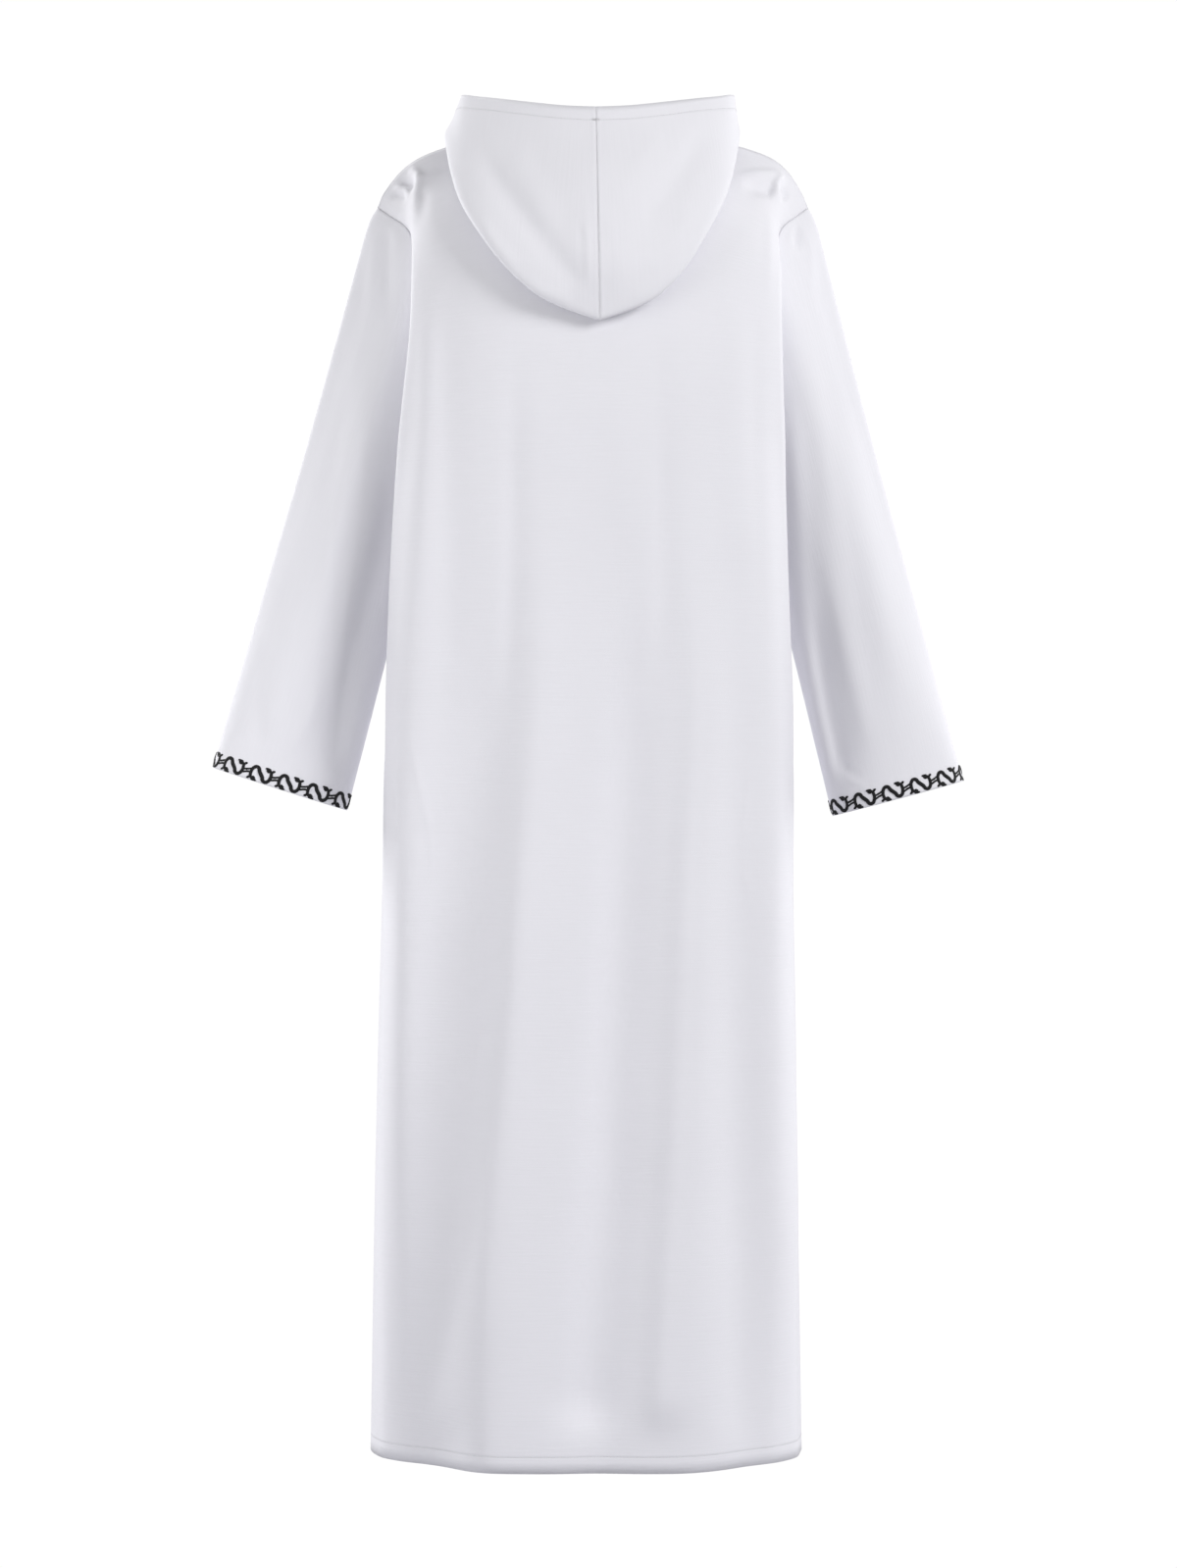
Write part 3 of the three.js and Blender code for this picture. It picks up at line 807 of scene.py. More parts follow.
WAVE = Stroke(((-10.2, -4.4), (-10.6, -0.6), (-9.9, 3.2), (-8.0, 5.9), (-5.6, 6.6), (-3.4, 5.4),
               (-2.2, 2.6), (0.0, 0.0), (2.2, -2.6), (3.4, -5.4), (5.6, -6.6), (8.0, -5.9),
               (9.9, -3.2), (10.6, 0.6), (10.2, 4.4)), (1.6, 2.1, 1.6))
HALF_SCROLL = (
    Stroke(((-10.2, -4.4), (-8.8, -6.2), (-6.4, -6.9)), (1.3, 1.3, 1.5)),
    Stroke(((-13.6, -7.3), (-12.0, -6.6), (-10.4, -4.8)), (0.8, 1.4, 1.0)),
    Stroke(((-8.6, -7.6), (-6.0, -7.5), (-3.2, -7.8)), (1.0, 1.5, 0.9)),
    Stroke(((-8.4, -4.9), (-6.6, -4.7), (-4.8, -6.4)), (0.8, 1.1, 1.0)),
    Stroke(((-20.2, 0.4), (-15.8, 1.2), (-10.6, 3.4)), (0.9, 1.1, 0.9)),
)


@dataclass(frozen=True)
class Scroll:
    """The black scroll round a cuff: arcs that open up and down in turn, joined by a thick
    slanting stroke on one side and two thin links on the other.

    Attributes:
        repeats: How many times it goes round the cuff.
        middle: The height of its middle above the cuff's edge, in metres.
        pitch: The length of one repeat as drawn, in millimetres.
        flatness: Its thickness as a share of a round cord's.
        stand: How far its middle stands off the cloth, in millimetres.
    """

    repeats: int = 11
    middle: float = 0.0092
    pitch: float = 30.4
    flatness: float = 0.5
    stand: float = 0.25

    def build(self, name: str, path: Path, up: np.ndarray, finishes: Finishes
              ) -> bpy.types.Object:
        """Works the scroll on the cloth.

        Args:
            name: The piece's name.
            path: The cuff's closed edge.
            up: The direction up the sleeve at each of its points.
            finishes: The materials.

        Returns:
            The embroidery as one piece.
        """
        drawn = self._drawn(name)
        mesh = bpy.data.meshes.new_from_object(drawn)
        bpy.data.objects.remove(drawn)
        flat = _places(mesh) / MM
        total = path.lengths()[-1]
        reached = (flat[:, 0] / (self.pitch * self.repeats)) % 1.0 * total
        places, normals = path.at(reached)
        _, ups = Path(path.points, up).at(reached)
        stand = (flat[:, 2] * self.flatness + self.stand) * MM
        points = places + ups * (self.middle + flat[:, 1] * MM)[:, None] + normals * stand[:, None]
        mesh.vertices.foreach_set("co", points.astype(np.float32).ravel())
        shape = bmesh.new()
        shape.from_mesh(mesh)
        bpy.data.meshes.remove(mesh)
        bmesh.ops.recalc_face_normals(shape, faces=shape.faces[:])
        return new_piece(name, shape, finishes.black_thread)

    def _drawn(self, name: str) -> bpy.types.Object:
        """Draws all the strokes of every repeat.

        Args:
            name: The piece's name.

        Returns:
            The strokes as a flat curve, in metres.
        """
        curve = bpy.data.curves.new(f"{name}_drawn", "CURVE")
        curve.dimensions = "3D"
        curve.bevel_depth = MM
        curve.bevel_resolution = 2
        curve.use_fill_caps = True
        strokes = (WAVE, *HALF_SCROLL, *(stroke.turned() for stroke in HALF_SCROLL))
        for repeat in range(self.repeats):
            start = (repeat + 0.5) * self.pitch
            for stroke in strokes:
                line = _smooth_line(np.array(stroke.line, float), 4)
                spline = curve.splines.new("POLY")
                spline.points.add(len(line) - 1)
                shares = np.linspace(0.0, 1.0, len(line))
                widths = np.interp(shares, (0.0, 0.5, 1.0), stroke.heaviness)
                for point, (u, v), width in zip(spline.points, line, widths):
                    point.co = ((u + start) * MM, v * MM, 0.0, 1.0)
                    point.radius = width
        drawn = bpy.data.objects.new(f"{name}_drawn", curve)
        bpy.context.scene.collection.objects.link(drawn)
        return drawn


# The walls' own grids


class GridWalk:
    """Finds the rows of a grid of quads that was cut into triangles."""

    def __init__(self, sheet: bmesh.types.BMesh) -> None:
        """Keeps the sheet."""
        self.sheet = sheet

    def rows(self) -> tuple[list[list[bmesh.types.BMVert]], bool]:
        """Finds the grid's rows.

        Returns:
            The rows, and whether each of them closes on itself.
        """
        total = len(self.sheet.verts)
        corners = [vert for vert in self.sheet.verts
                   if vert.is_boundary and len(vert.link_faces) <= 2]
        for corner in corners:
            sides = [edge.other_vert(corner) for edge in corner.link_edges if edge.is_boundary]
            for ahead, up in (sides, sides[::-1]):
                rows = self._open_rows(corner, ahead, up)
                if rows and sum(len(row) for row in rows) == total:
                    return rows, False
        rows = self._closed_rows(total)
        if not rows:
            raise ValueError("the wall is not a grid")
        return rows, True

    def _open_rows(self, corner: bmesh.types.BMVert, ahead: bmesh.types.BMVert,
                   up: bmesh.types.BMVert) -> list[list[bmesh.types.BMVert]] | None:
        """Walks an open grid from one of its corners.

        Args:
            corner: The point to start at.
            ahead: The next point of the first row.
            up: The first point of the second row.

        Returns:
            The rows, or None where the point isn't a corner.
        """
        used: set[bmesh.types.BMFace] = set()
        row, above = [corner, ahead], [up]
        while True:
            found = self._across(row[-2], row[-1], above[-1], used)
            side = self._edge(row[-1], found)
            if side is None:
                return None
            above.append(found)
            if side.is_boundary:
                break
            onward = self._onward(row[-1], row[-2])
            if onward is None:
                return None
            row.append(onward)
        rows = [row, above]
        while not self._edge(rows[-1][0], rows[-1][1]).is_boundary:
            first = self._onward(rows[-1][0], rows[-2][0])
            if first is None:
                return None
            above = [first]
            for a, b in zip(rows[-1], rows[-1][1:]):
                found = self._across(a, b, above[-1], used)
                if found is None:
                    return None
                above.append(found)
            rows.append(above)
        return rows

    def _closed_rows(self, total: int) -> list[list[bmesh.types.BMVert]] | None:
        """Walks a grid whose rows are rings, from one open end to the other.

        Args:
            total: The number of points in the grid.

        Returns:
            The rows, or None where the sheet isn't such a grid.
        """
        start = next(vert for vert in self.sheet.verts if vert.is_boundary)
        ring = [start, self._onward(start, None)]
        while ring[-1] is not start:
            ring.append(self._onward(ring[-1], ring[-2]))
        rows = [ring[:-1]]
        used: set[bmesh.types.BMFace] = set()
        while sum(len(row) for row in rows) < total:
            last = rows[-1]
            seen = {vert for row in rows for vert in row}
            best = None
            for edge in last[0].link_edges:
                first = edge.other_vert(last[0])
                if first in seen:
                    continue
                trial = set(used)
                above = [first]
                for a, b in zip(last, last[1:] + last[:1]):
                    found = self._across(a, b, above[-1], trial)
                    if found is None:
                        break
                    above.append(found)
                if len(above) != len(last) + 1 or above[-1] is not first:
                    continue
                length = sum((a.co - b.co).length for a, b in zip(last, above))
                if best is None or length < best[0]:
                    best = (length, above[:-1], trial)
            if best is None:
                return None
            rows.append(best[1])
            used = best[2]
        return rows

    @staticmethod
    def _onward(vert: bmesh.types.BMVert,
                before: bmesh.types.BMVert | None) -> bmesh.types.BMVert | None:
        """The next point along the boundary.

        Args:
            vert: The point to go on from.
            before: The point that was walked before it, or None at the start.

        Returns:
            The next point, or None where the boundary goes no further.
        """
        ahead = [edge.other_vert(vert) for edge in vert.link_edges
                 if edge.is_boundary and edge.other_vert(vert) is not before]
        return ahead[0] if ahead else None

    @staticmethod
    def _edge(a: bmesh.types.BMVert, b: bmesh.types.BMVert | None) -> bmesh.types.BMEdge | None:
        """The edge between two points.

        Args:
            a: The first point.
            b: The other point, or None.

        Returns:
            The edge, or None where there is none.
        """
        if b is None:
            return None
        return next((edge for edge in a.link_edges if edge.other_vert(a) is b), None)

    def _across(self, a: bmesh.types.BMVert, b: bmesh.types.BMVert, c: bmesh.types.BMVert,
                used: set[bmesh.types.BMFace]) -> bmesh.types.BMVert | None:
        """The last point of the quad that has the sides a to b and a to c.

        Args:
            a: The point that the two sides share.
            b: The other end of the first side.
            c: The other end of the second side.
            used: The triangles that were walked before, which takes in those of this quad.

        Returns:
            The point, or None where there is no such quad.
        """
        apex, face = self._apex(a, b, used)
        if apex is None:
            return None
        used.add(face)
        if apex is c:
            found, other = self._apex(b, c, used)
        else:
            found = apex
            far, other = self._apex(a, apex, used)
            if far is not c:
                return None
        if found is not None:
            used.add(other)
        return found

    def _apex(self, a: bmesh.types.BMVert, b: bmesh.types.BMVert, used: set[bmesh.types.BMFace]
              ) -> tuple[bmesh.types.BMVert | None, bmesh.types.BMFace | None]:
        """The triangle on an edge that wasn't walked before.

        Args:
            a: One end of the edge.
            b: Its other end.
            used: The triangles that were walked before.

        Returns:
            Its third point and the triangle, or None for both.
        """
        edge = self._edge(a, b)
        for face in edge.link_faces if edge else ():
            if face not in used:
                return next(v for v in face.verts if v is not a and v is not b), face
        return None, None


# Cloth


@dataclass
class Cloth:
    """A piece of cloth that takes the form of its solid as a thin shell.

    Attributes:
        node: The solid's node, which the shell replaces.
        creases: The creases on it.
        flat: The width and length that it was cut to, in metres. Not used.
        area: The flat area of the cut, in square metres. Not used.
        rests_on: What it is sewn to. Not used.
        ruffle: How uneven it is, in metres.
        seed: Moves its unevenness.
        stitches: The row of stitches along its open edge, if it has one.
    """

    node: str
    creases: tuple[Crease, ...]
    flat: tuple[float, float]
    area: float
    rests_on: tuple[str, ...]
    ruffle: float = 0.0008
    seed: float = 0.0
    stitches: StitchRow | None = None

    def build(self, finishes: Finishes) -> bpy.types.Object:
        """Args:
            finishes: The materials.

        Returns:
            The finished piece.
        """
        sheet = self._outer_sheet()
        fine = self._refined(sheet)
        self._crease(fine)
        self._mark_edges(fine)
        piece = bpy.data.objects.new(f"{self.node}_cloth", fine)
        bpy.context.scene.collection.objects.link(piece)
        fine.materials.clear()
        fine.materials.append(finishes.cotton)
        fine.shade_smooth()
        shell = piece.modifiers.new("thickness", "SOLIDIFY")
        shell.thickness = CLOTH
        shell.offset = -1.0
        shell.use_even_offset = False
        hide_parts(self.node)
        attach(piece, BODY)
        LOG.info("%s: %d points", piece.name, len(fine.vertices))
        sewing = [self._sew(fine, finishes)] if self.stitches else []
        sewing += self._trim(fine, finishes)
        return piece

    def _trim(self, fine: bpy.types.Mesh, finishes: Finishes) -> list[bpy.types.Object]:
        """What is worked on the cloth. Only the sleeves carry any."""
        return []

    def _sew(self, fine: bpy.types.Mesh, finishes: Finishes) -> bpy.types.Object:
        """Sews the row of stitches along the open edge.

        Args:
            fine: The cloth's mesh.
            finishes: The materials.

        Returns:
            The stitches as one piece.
        """
        seam = bmesh.new()
        for chain in self._edges(fine)[Edge.OPEN]:
            path = walk_inward(fine, chain, self.stitches.depth)
            self.stitches.sew(seam, path)
            if self.stitches.tack:
                self.stitches.bar_tack(seam, path)
        piece = new_piece(f"{self.node}_stitches", seam, finishes.white_thread)
        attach(piece, BODY)
        return piece

    def _outer_sheet(self) -> bmesh.types.BMesh:
        """Takes the outer side of the solid's wall.

        Returns:
            It as a sheet of quads.
        """
        source = bpy.data.objects[self.node].data
        sheet = bmesh.new()
        sheet.from_mesh(source)
        bmesh.ops.remove_doubles(sheet, verts=sheet.verts[:], dist=SAME_POINT)
        rim = [face for face in sheet.faces
               if any(abs(edge.calc_length() - WALL) < WALL_ERROR for edge in face.edges)]
        bmesh.ops.delete(sheet, geom=rim, context="FACES_ONLY")
        loose = [edge for edge in sheet.edges if not edge.link_faces]
        bmesh.ops.delete(sheet, geom=loose, context="EDGES")
        sheets = self._islands(sheet)
        LOG.info("%s: sides of the wall %s", self.node, [len(island) for island in sheets])
        sheets.sort(key=self._reach, reverse=True)
        others = [vert for island in sheets[1:] for vert in island]
        bmesh.ops.delete(sheet, geom=others, context="VERTS")
        self._restore_quads(sheet)
        return sheet

    @staticmethod
    def _restore_quads(sheet: bmesh.types.BMesh) -> None:
        """Takes out the diagonals and unrolls the grid into the UV map that the weave follows.

        Args:
            sheet: The sheet, of triangles.
        """
        rows, closed = GridWalk(sheet).rows()
        count = len(rows[0])
        sides = set()
        for r, row in enumerate(rows):
            for c, vert in enumerate(row):
                if c + 1 < count or closed:
                    sides.add(frozenset((vert, row[(c + 1) % count])))
                if r + 1 < len(rows):
                    sides.add(frozenset((vert, rows[r + 1][c])))
        diagonals = [edge for edge in sheet.edges if frozenset(edge.verts) not in sides]
        bmesh.ops.dissolve_edges(sheet, edges=diagonals, use_verts=False)
        places = np.array([[vert.co for vert in row] for row in rows])
        ring = np.concatenate([places, places[:, :1]], axis=1) if closed else places
        wide = np.linalg.norm(np.diff(ring, axis=1), axis=2).mean(axis=0)
        tall = np.linalg.norm(np.diff(places, axis=0), axis=2).mean(axis=1)
        across = np.concatenate([[0.0], np.cumsum(wide)])
        down = np.concatenate([[0.0], np.cumsum(tall)])
        spot = {vert: (r, c) for r, row in enumerate(rows) for c, vert in enumerate(row)}
        layer = sheet.loops.layers.uv.new(CLOTH_MAP)
        for face in sheet.faces:
            columns = [spot[vert][1] for vert in face.verts]
            wraps = closed and max(columns) - min(columns) > 1
            for loop in face.loops:
                r, c = spot[loop.vert]
                loop[layer].uv = (across[count if wraps and c == 0 else c], down[r])

    @staticmethod
    def _islands(sheet: bmesh.types.BMesh) -> list[list[bmesh.types.BMVert]]:
        """Finds the connected parts of a sheet.

        Args:
            sheet: The sheet.

        Returns:
            The points of each part.
        """
        waiting = set(sheet.verts)
        found = []
        while waiting:
            island = []
            front = [waiting.pop()]
            while front:
                vert = front.pop()
                island.append(vert)
                for edge in vert.link_edges:
                    other = edge.other_vert(vert)
                    if other in waiting:
                        waiting.remove(other)
                        front.append(other)
            found.append(island)
        return found

    @staticmethod
    def _reach(island: list[bmesh.types.BMVert]) -> float:
        """The sum of the three sides of the island's box."""
        places = np.array([vert.co for vert in island])
        return float(np.ptp(places, axis=0).sum())

    def _refined(self, sheet: bmesh.types.BMesh) -> bpy.types.Mesh:
        """A smooth fine mesh that passes through the sheet's own points.

        Args:
            sheet: The coarse sheet.

        Returns:
            The fine mesh.
        """
        coarse = bpy.data.meshes.new(f"{self.node}_coarse")
        sheet.to_mesh(coarse)
        sheet.free()
        count = len(coarse.vertices)
        wanted = _places(coarse)
        cage = bpy.data.objects.new(f"{self.node}_cage", coarse)
        bpy.context.scene.collection.objects.link(cage)
        smooth = cage.modifiers.new("smooth", "SUBSURF")
        smooth.levels = smooth.render_levels = FINE_LEVELS
        smooth.boundary_smooth = "PRESERVE_CORNERS"
        held = wanted.copy()
        for _ in range(FITTING_ROUNDS):
            fine = self._evaluated(cage)
            held += (wanted - _places(fine)[:count]) * FITTING_SHARE
            coarse.vertices.foreach_set("co", held.astype(np.float32).ravel())
            coarse.update()
        fine = self._evaluated(cage)
        bpy.data.objects.remove(cage)
        bpy.data.meshes.remove(coarse)
        fine.name = f"{self.node}_cloth"
        return fine

    @staticmethod
    def _evaluated(cage: bpy.types.Object) -> bpy.types.Mesh:
        """The mesh of an object with its modifiers applied.

        Args:
            cage: The object.

        Returns:
            The mesh.
        """
        bpy.context.view_layer.update()
        graph = bpy.context.evaluated_depsgraph_get()
        return bpy.data.meshes.new_from_object(cage.evaluated_get(graph))

    def _crease(self, fine: bpy.types.Mesh) -> None:
        """Moves the fine mesh's points by the creases and the unevenness.

        Args:
            fine: The mesh.
        """
        points = _places(fine)
        normals = _normals(fine)
        lift = np.zeros(len(points))
        straight = np.zeros(len(points))
        for crease in self.creases:
            if crease.through:
                straight += crease.lift(points, normals) * crease.facing.value
            else:
                lift += crease.lift(points, normals)
        for size, moved, share in SWELLS:
            lift += _ruffle(points, size, self.seed + moved) * self.ruffle * share
        edge = self._distance(fine, self._edge_points(fine))
        calm = _ease(0.0, CALM_EDGE, edge)
        points += normals * (lift * calm)[:, None]
        points[:, 1] += straight
        fine.vertices.foreach_set("co", points.astype(np.float32).ravel())
        fine.update()

    def _chains(self, fine: bpy.types.Mesh) -> list[np.ndarray]:
        """Walks the boundary and cuts it at its sharp corners.

        Args:
            fine: The mesh.

        Returns:
            Each stretch as a chain of point numbers.
        """
        sheet = bmesh.new()
        sheet.from_mesh(fine)
        sheet.verts.ensure_lookup_table()
        rim = {edge for edge in sheet.edges if edge.is_boundary}
        chains = []
        corners = {vert for edge in rim for vert in edge.verts if self._is_corner(vert)}
        while rim:
            starts = [edge for edge in rim if any(vert in corners for vert in edge.verts)]
            first = starts[0] if starts else next(iter(sorted(rim, key=lambda e: e.index)))
            rim.remove(first)
            vert = next((v for v in first.verts if v in corners), first.verts[0])
            chain = [vert, first.other_vert(vert)]
            while chain[-1] not in corners:
                ahead = [edge for edge in chain[-1].link_edges if edge in rim]
                if not ahead:
                    break
                rim.remove(ahead[0])
                chain.append(ahead[0].other_vert(chain[-1]))
            chains.append(np.array([v.index for v in chain]))
        sheet.free()
        return chains

    @staticmethod
    def _is_corner(vert: bmesh.types.BMVert) -> bool:
        """Whether the boundary turns sharply at a point that has a single face."""
        return vert.is_boundary and len(vert.link_faces) == 1

    def _edges(self, fine: bpy.types.Mesh) -> dict[Edge, list[np.ndarray]]:
        """Sorts the boundary's chains into sewn and open ones.

        Args:
            fine: The mesh.

        Returns:
            The chains of each kind.
        """
        points = _places(fine)
        found: dict[Edge, list[np.ndarray]] = {Edge.SEWN: [], Edge.OPEN: []}
        for chain in self._chains(fine):
            found[self.finish_of(points[chain])].append(chain)
        return found

    def finish_of(self, chain: np.ndarray) -> Edge:
        """How an edge is finished, from where its points lie.

        Args:
            chain: The edge's points.

        Returns:
            Whether it is sewn to another piece or open.
        """
        raise NotImplementedError

    def _edge_points(self, fine: bpy.types.Mesh) -> np.ndarray:
        """The points of the whole boundary."""
        points = _places(fine)
        return np.vstack([points[chain] for chain in self._chains(fine)])

    @staticmethod
    def _distance(fine: bpy.types.Mesh, targets: np.ndarray) -> np.ndarray:
        """The distance of every point to the nearest of the targets.

        Args:
            fine: The mesh.
            targets: Points along an edge, closer together than the distances that matter.

        Returns:
            One distance a point.
        """
        tree = KDTree(len(targets))
        for number, place in enumerate(targets):
            tree.insert(Vector(place), number)
        tree.balance()
        return np.array([tree.find(vert.co)[2] for vert in fine.vertices])

    def _mark_edges(self, fine: bpy.types.Mesh) -> None:
        """Keeps each point's distance from the open edge and from the seams.

        Args:
            fine: The mesh, whose sewn edges then reach into the gaps at the seams.
        """
        edges = self._edges(fine)
        points = _places(fine)
        for name, kind in ((FROM_HEM, Edge.OPEN), (FROM_SEAM, Edge.SEWN)):
            targets = np.vstack([_dense(points[chain]) for chain in edges[kind]])
            values = self._distance(fine, targets)
            if kind is Edge.OPEN:
                values -= self.stitches.depth if self.stitches else NO_STITCHES
            kept = fine.attributes.new(name, "FLOAT", "POINT")
            kept.data.foreach_set("value", values.astype(np.float32))
        normals = _normals(fine)
        for chain in edges[Edge.SEWN]:
            self._reach_into_seam(points, normals, chain)
        fine.vertices.foreach_set("co", points.astype(np.float32).ravel())
        fine.update()

    def _reach_into_seam(self, points: np.ndarray, normals: np.ndarray, chain: np.ndarray) -> None:
        """Moves a sewn edge into the gap at the seam, in the surface of the cloth.

        Args:
            points: The points of the mesh, which are changed.
            normals: Their unit normals.
            chain: The numbers of the edge's points, in order.
        """
        ahead = np.gradient(points[chain], axis=0)
        side = np.cross(ahead, normals[chain])
        side /= np.linalg.norm(side, axis=1)[:, None] + 1e-12
        middle = points.mean(axis=0)
        if (side * (points[chain] - middle)).sum() < 0:
            side = -side
        points[chain] += side * SEAM_REACH


def _places(mesh: bpy.types.Mesh) -> np.ndarray:
    """The points of a mesh.

    Args:
        mesh: The mesh.

    Returns:
        One row a point, in metres.
    """
    flat = np.zeros(len(mesh.vertices) * 3, np.float32)
    mesh.vertices.foreach_get("co", flat)
    return flat.reshape(-1, 3).astype(float)


def _normals(mesh: bpy.types.Mesh) -> np.ndarray:
    """The normals of a mesh's points.

    Args:
        mesh: The mesh.

    Returns:
        One row a point, each of length 1.
    """
    flat = np.zeros(len(mesh.vertices) * 3, np.float32)
    mesh.vertices.foreach_get("normal", flat)
    return flat.reshape(-1, 3).astype(float)


def _dense(chain: np.ndarray, spacing: float = 0.003) -> np.ndarray:
    """Points along a chain that are never further apart than the spacing.

    Args:
        chain: The chain's own points.
        spacing: The longest distance between two points, in metres.

    Returns:
        The points.
    """
    found = [chain[:1]]
    for a, b in zip(chain[:-1], chain[1:]):
        steps = max(1, int(math.ceil(np.linalg.norm(b - a) / spacing)))
        found.append(a + (b - a) * (np.arange(1, steps + 1) / steps)[:, None])
    return np.vstack(found)


@dataclass
class Panel(Cloth):
    """The back or the front of the body, from the shoulders to the hem.

    Attributes:
        hem_level: The height that only the hem lies below, in metres.
    """

    hem_level: float = -1.365

    def finish_of(self, chain: np.ndarray) -> Edge:
        """Open along the hem, sewn at the sides, armholes, shoulders and neck."""
        return Edge.OPEN if chain[:, 2].max() < self.hem_level else Edge.SEWN


@dataclass
class Sleeve(Cloth):
    """A sleeve, set in at the armhole and open at its cuff.

    Attributes:
        cuff_level: The height that only the cuff's edge lies below, in metres.
        trim_height: How far up from the edge the scroll's direction is measured, in metres.
    """

    cuff_level: float = -0.55
    trim_height: float = 0.016

    def _trim(self, fine: bpy.types.Mesh, finishes: Finishes) -> list[bpy.types.Object]:
        """Works the scroll round the cuff.

        Args:
            fine: The cloth's mesh.
            finishes: The materials.

        Returns:
            The scroll.
        """
        chain = self._edges(fine)[Edge.OPEN][0]
        edge = Path(_places(fine)[chain], _normals(fine)[chain])
        inner = walk_inward(fine, chain, self.trim_height)
        up = inner.points - edge.points
        side = self.node.split("_")[1]
        trim = Scroll().build(f"cuff_scroll_{side}", edge, up, finishes)
        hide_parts(f"cuff_cord_{side}")
        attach(trim, BODY)
        return [trim]

    def finish_of(self, chain: np.ndarray) -> Edge:
        """Open at the cuff, sewn at the armhole."""
        return Edge.OPEN if chain[:, 2].max() < self.cuff_level else Edge.SEWN


@dataclass
class HoodHalf(Cloth):
    """Half of the hood, sewn at the neck and the centre and open at its rim.

    Attributes:
        rim_width: The width that the rim is sure to pass, in metres.
        rim_level: The height that only the rim passes at that width, in metres.
    """

    rim_width: float = 0.08
    rim_level: float = 0.05

    def finish_of(self, chain: np.ndarray) -> Edge:
        """Open along the rim, which is wide and high."""
        wide = np.ptp(chain[:, 0]) > self.rim_width
        return Edge.OPEN if wide and chain[:, 2].max() > self.rim_level else Edge.SEWN


# The studio


@dataclass(frozen=True)
class Lamp:
    """One square soft light that faces the garment.

    Attributes:
        name: Its name.
        place: Where it stands, in metres.
        size: The length of its side, in metres.
        power: Its power, in watts.
    """

    name: str
    place: tuple[float, float, float]
    size: float
    power: float

    def add(self) -> None:
        """Adds the lamp to the scene."""
        light = bpy.data.lights.new(self.name, "AREA")
        light.size = self.size
        light.energy = self.power
        lamp = bpy.data.objects.new(self.name, light)
        lamp.location = self.place
        aim = GARMENT_MIDDLE - Vector(self.place)
        lamp.rotation_euler = aim.to_track_quat("-Z", "Y").to_euler()
        bpy.context.scene.collection.objects.link(lamp)


GARMENT_MIDDLE = Vector((0.0, 0.0, -0.5))
LAMPS = (
    Lamp("key", (-3.8, 3.0, 1.7), 2.0, 178.0),
    Lamp("fill", (1.5, 1.0, -0.4), 1.2, 14.0),
    Lamp("front_key", (3.8, -3.0, 1.7), 2.0, 178.0),
    Lamp("front_fill", (-1.5, -1.0, -0.4), 1.2, 14.0),
)


@dataclass(frozen=True)
class Studio:
    """The floor, the soft lights and the camera at the photograph's angle.

    Attributes:
        camera_place: Where the camera stands, in metres.
        lens: Its focal length, in millimetres.
        sensor: The width of its sensor, in millimetres.
        floor_level: The height of the floor, in metres.
        floor_radius: How far the floor reaches, in metres.
        around: How strongly the white surroundings light the cloth.
    """

    camera_place: tuple[float, float, float] = (0.002, 4.6, -0.6687)
    lens: float = 99.58
    sensor: float = 36.0
    floor_level: float = -1.49
    floor_radius: float = 1.7
    around: float = 0.38

    def build(self) -> None:
        """Builds the floor, the surroundings, the lights and the camera."""
        self._floor()
        self._world()
        for lamp in LAMPS:
            lamp.add()
        self._camera()

    def _camera(self) -> None:
        """Adds the camera and the view's colours."""
        camera = bpy.data.objects.new("camera", bpy.data.cameras.new("camera"))
        camera.location = self.camera_place
        camera.rotation_euler = (math.pi / 2, 0.0, math.pi)
        camera.data.lens = self.lens
        camera.data.sensor_width = self.sensor
        camera.data.sensor_fit = "AUTO"
        bpy.context.scene.collection.objects.link(camera)
        bpy.context.scene.camera = camera
        bpy.context.scene.view_settings.view_transform = "Standard"
        bpy.context.scene.view_settings.look = "None"

    def _floor(self) -> None:
        """Adds the pale floor below the hem."""
        disc = bmesh.new()
        bmesh.ops.create_circle(disc, cap_ends=True, segments=64, radius=self.floor_radius)
        bmesh.ops.translate(disc, verts=disc.verts[:], vec=(0.0, 0.0, self.floor_level))
        mesh = bpy.data.meshes.new("studio_floor")
        disc.to_mesh(mesh)
        disc.free()
        floor = bpy.data.objects.new("studio_floor", mesh)
        bpy.context.scene.collection.objects.link(floor)
        mesh.materials.append(StudioFinish().build())

    def _world(self) -> None:
        """Makes the surroundings white, and dimmer for what lights the cloth."""
        world = bpy.data.worlds.new("studio")
        bpy.context.scene.world = world
        world.use_nodes = True
        nodes, links = world.node_tree.nodes, world.node_tree.links
        nodes.clear()
        seen = nodes.new("ShaderNodeLightPath")
        share = nodes.new("ShaderNodeMapRange")
        share.inputs["To Min"].default_value = self.around
        share.inputs["To Max"].default_value = BACKGROUND
        links.new(seen.outputs["Is Camera Ray"], share.inputs["Value"])
        white = nodes.new("ShaderNodeBackground")
        white.inputs["Color"].default_value = (1.0, 1.0, 1.0, 1.0)
        links.new(share.outputs["Result"], white.inputs["Strength"])
        out = nodes.new("ShaderNodeOutputWorld")
        links.new(white.outputs["Background"], out.inputs["Surface"])


# Where the creases lie


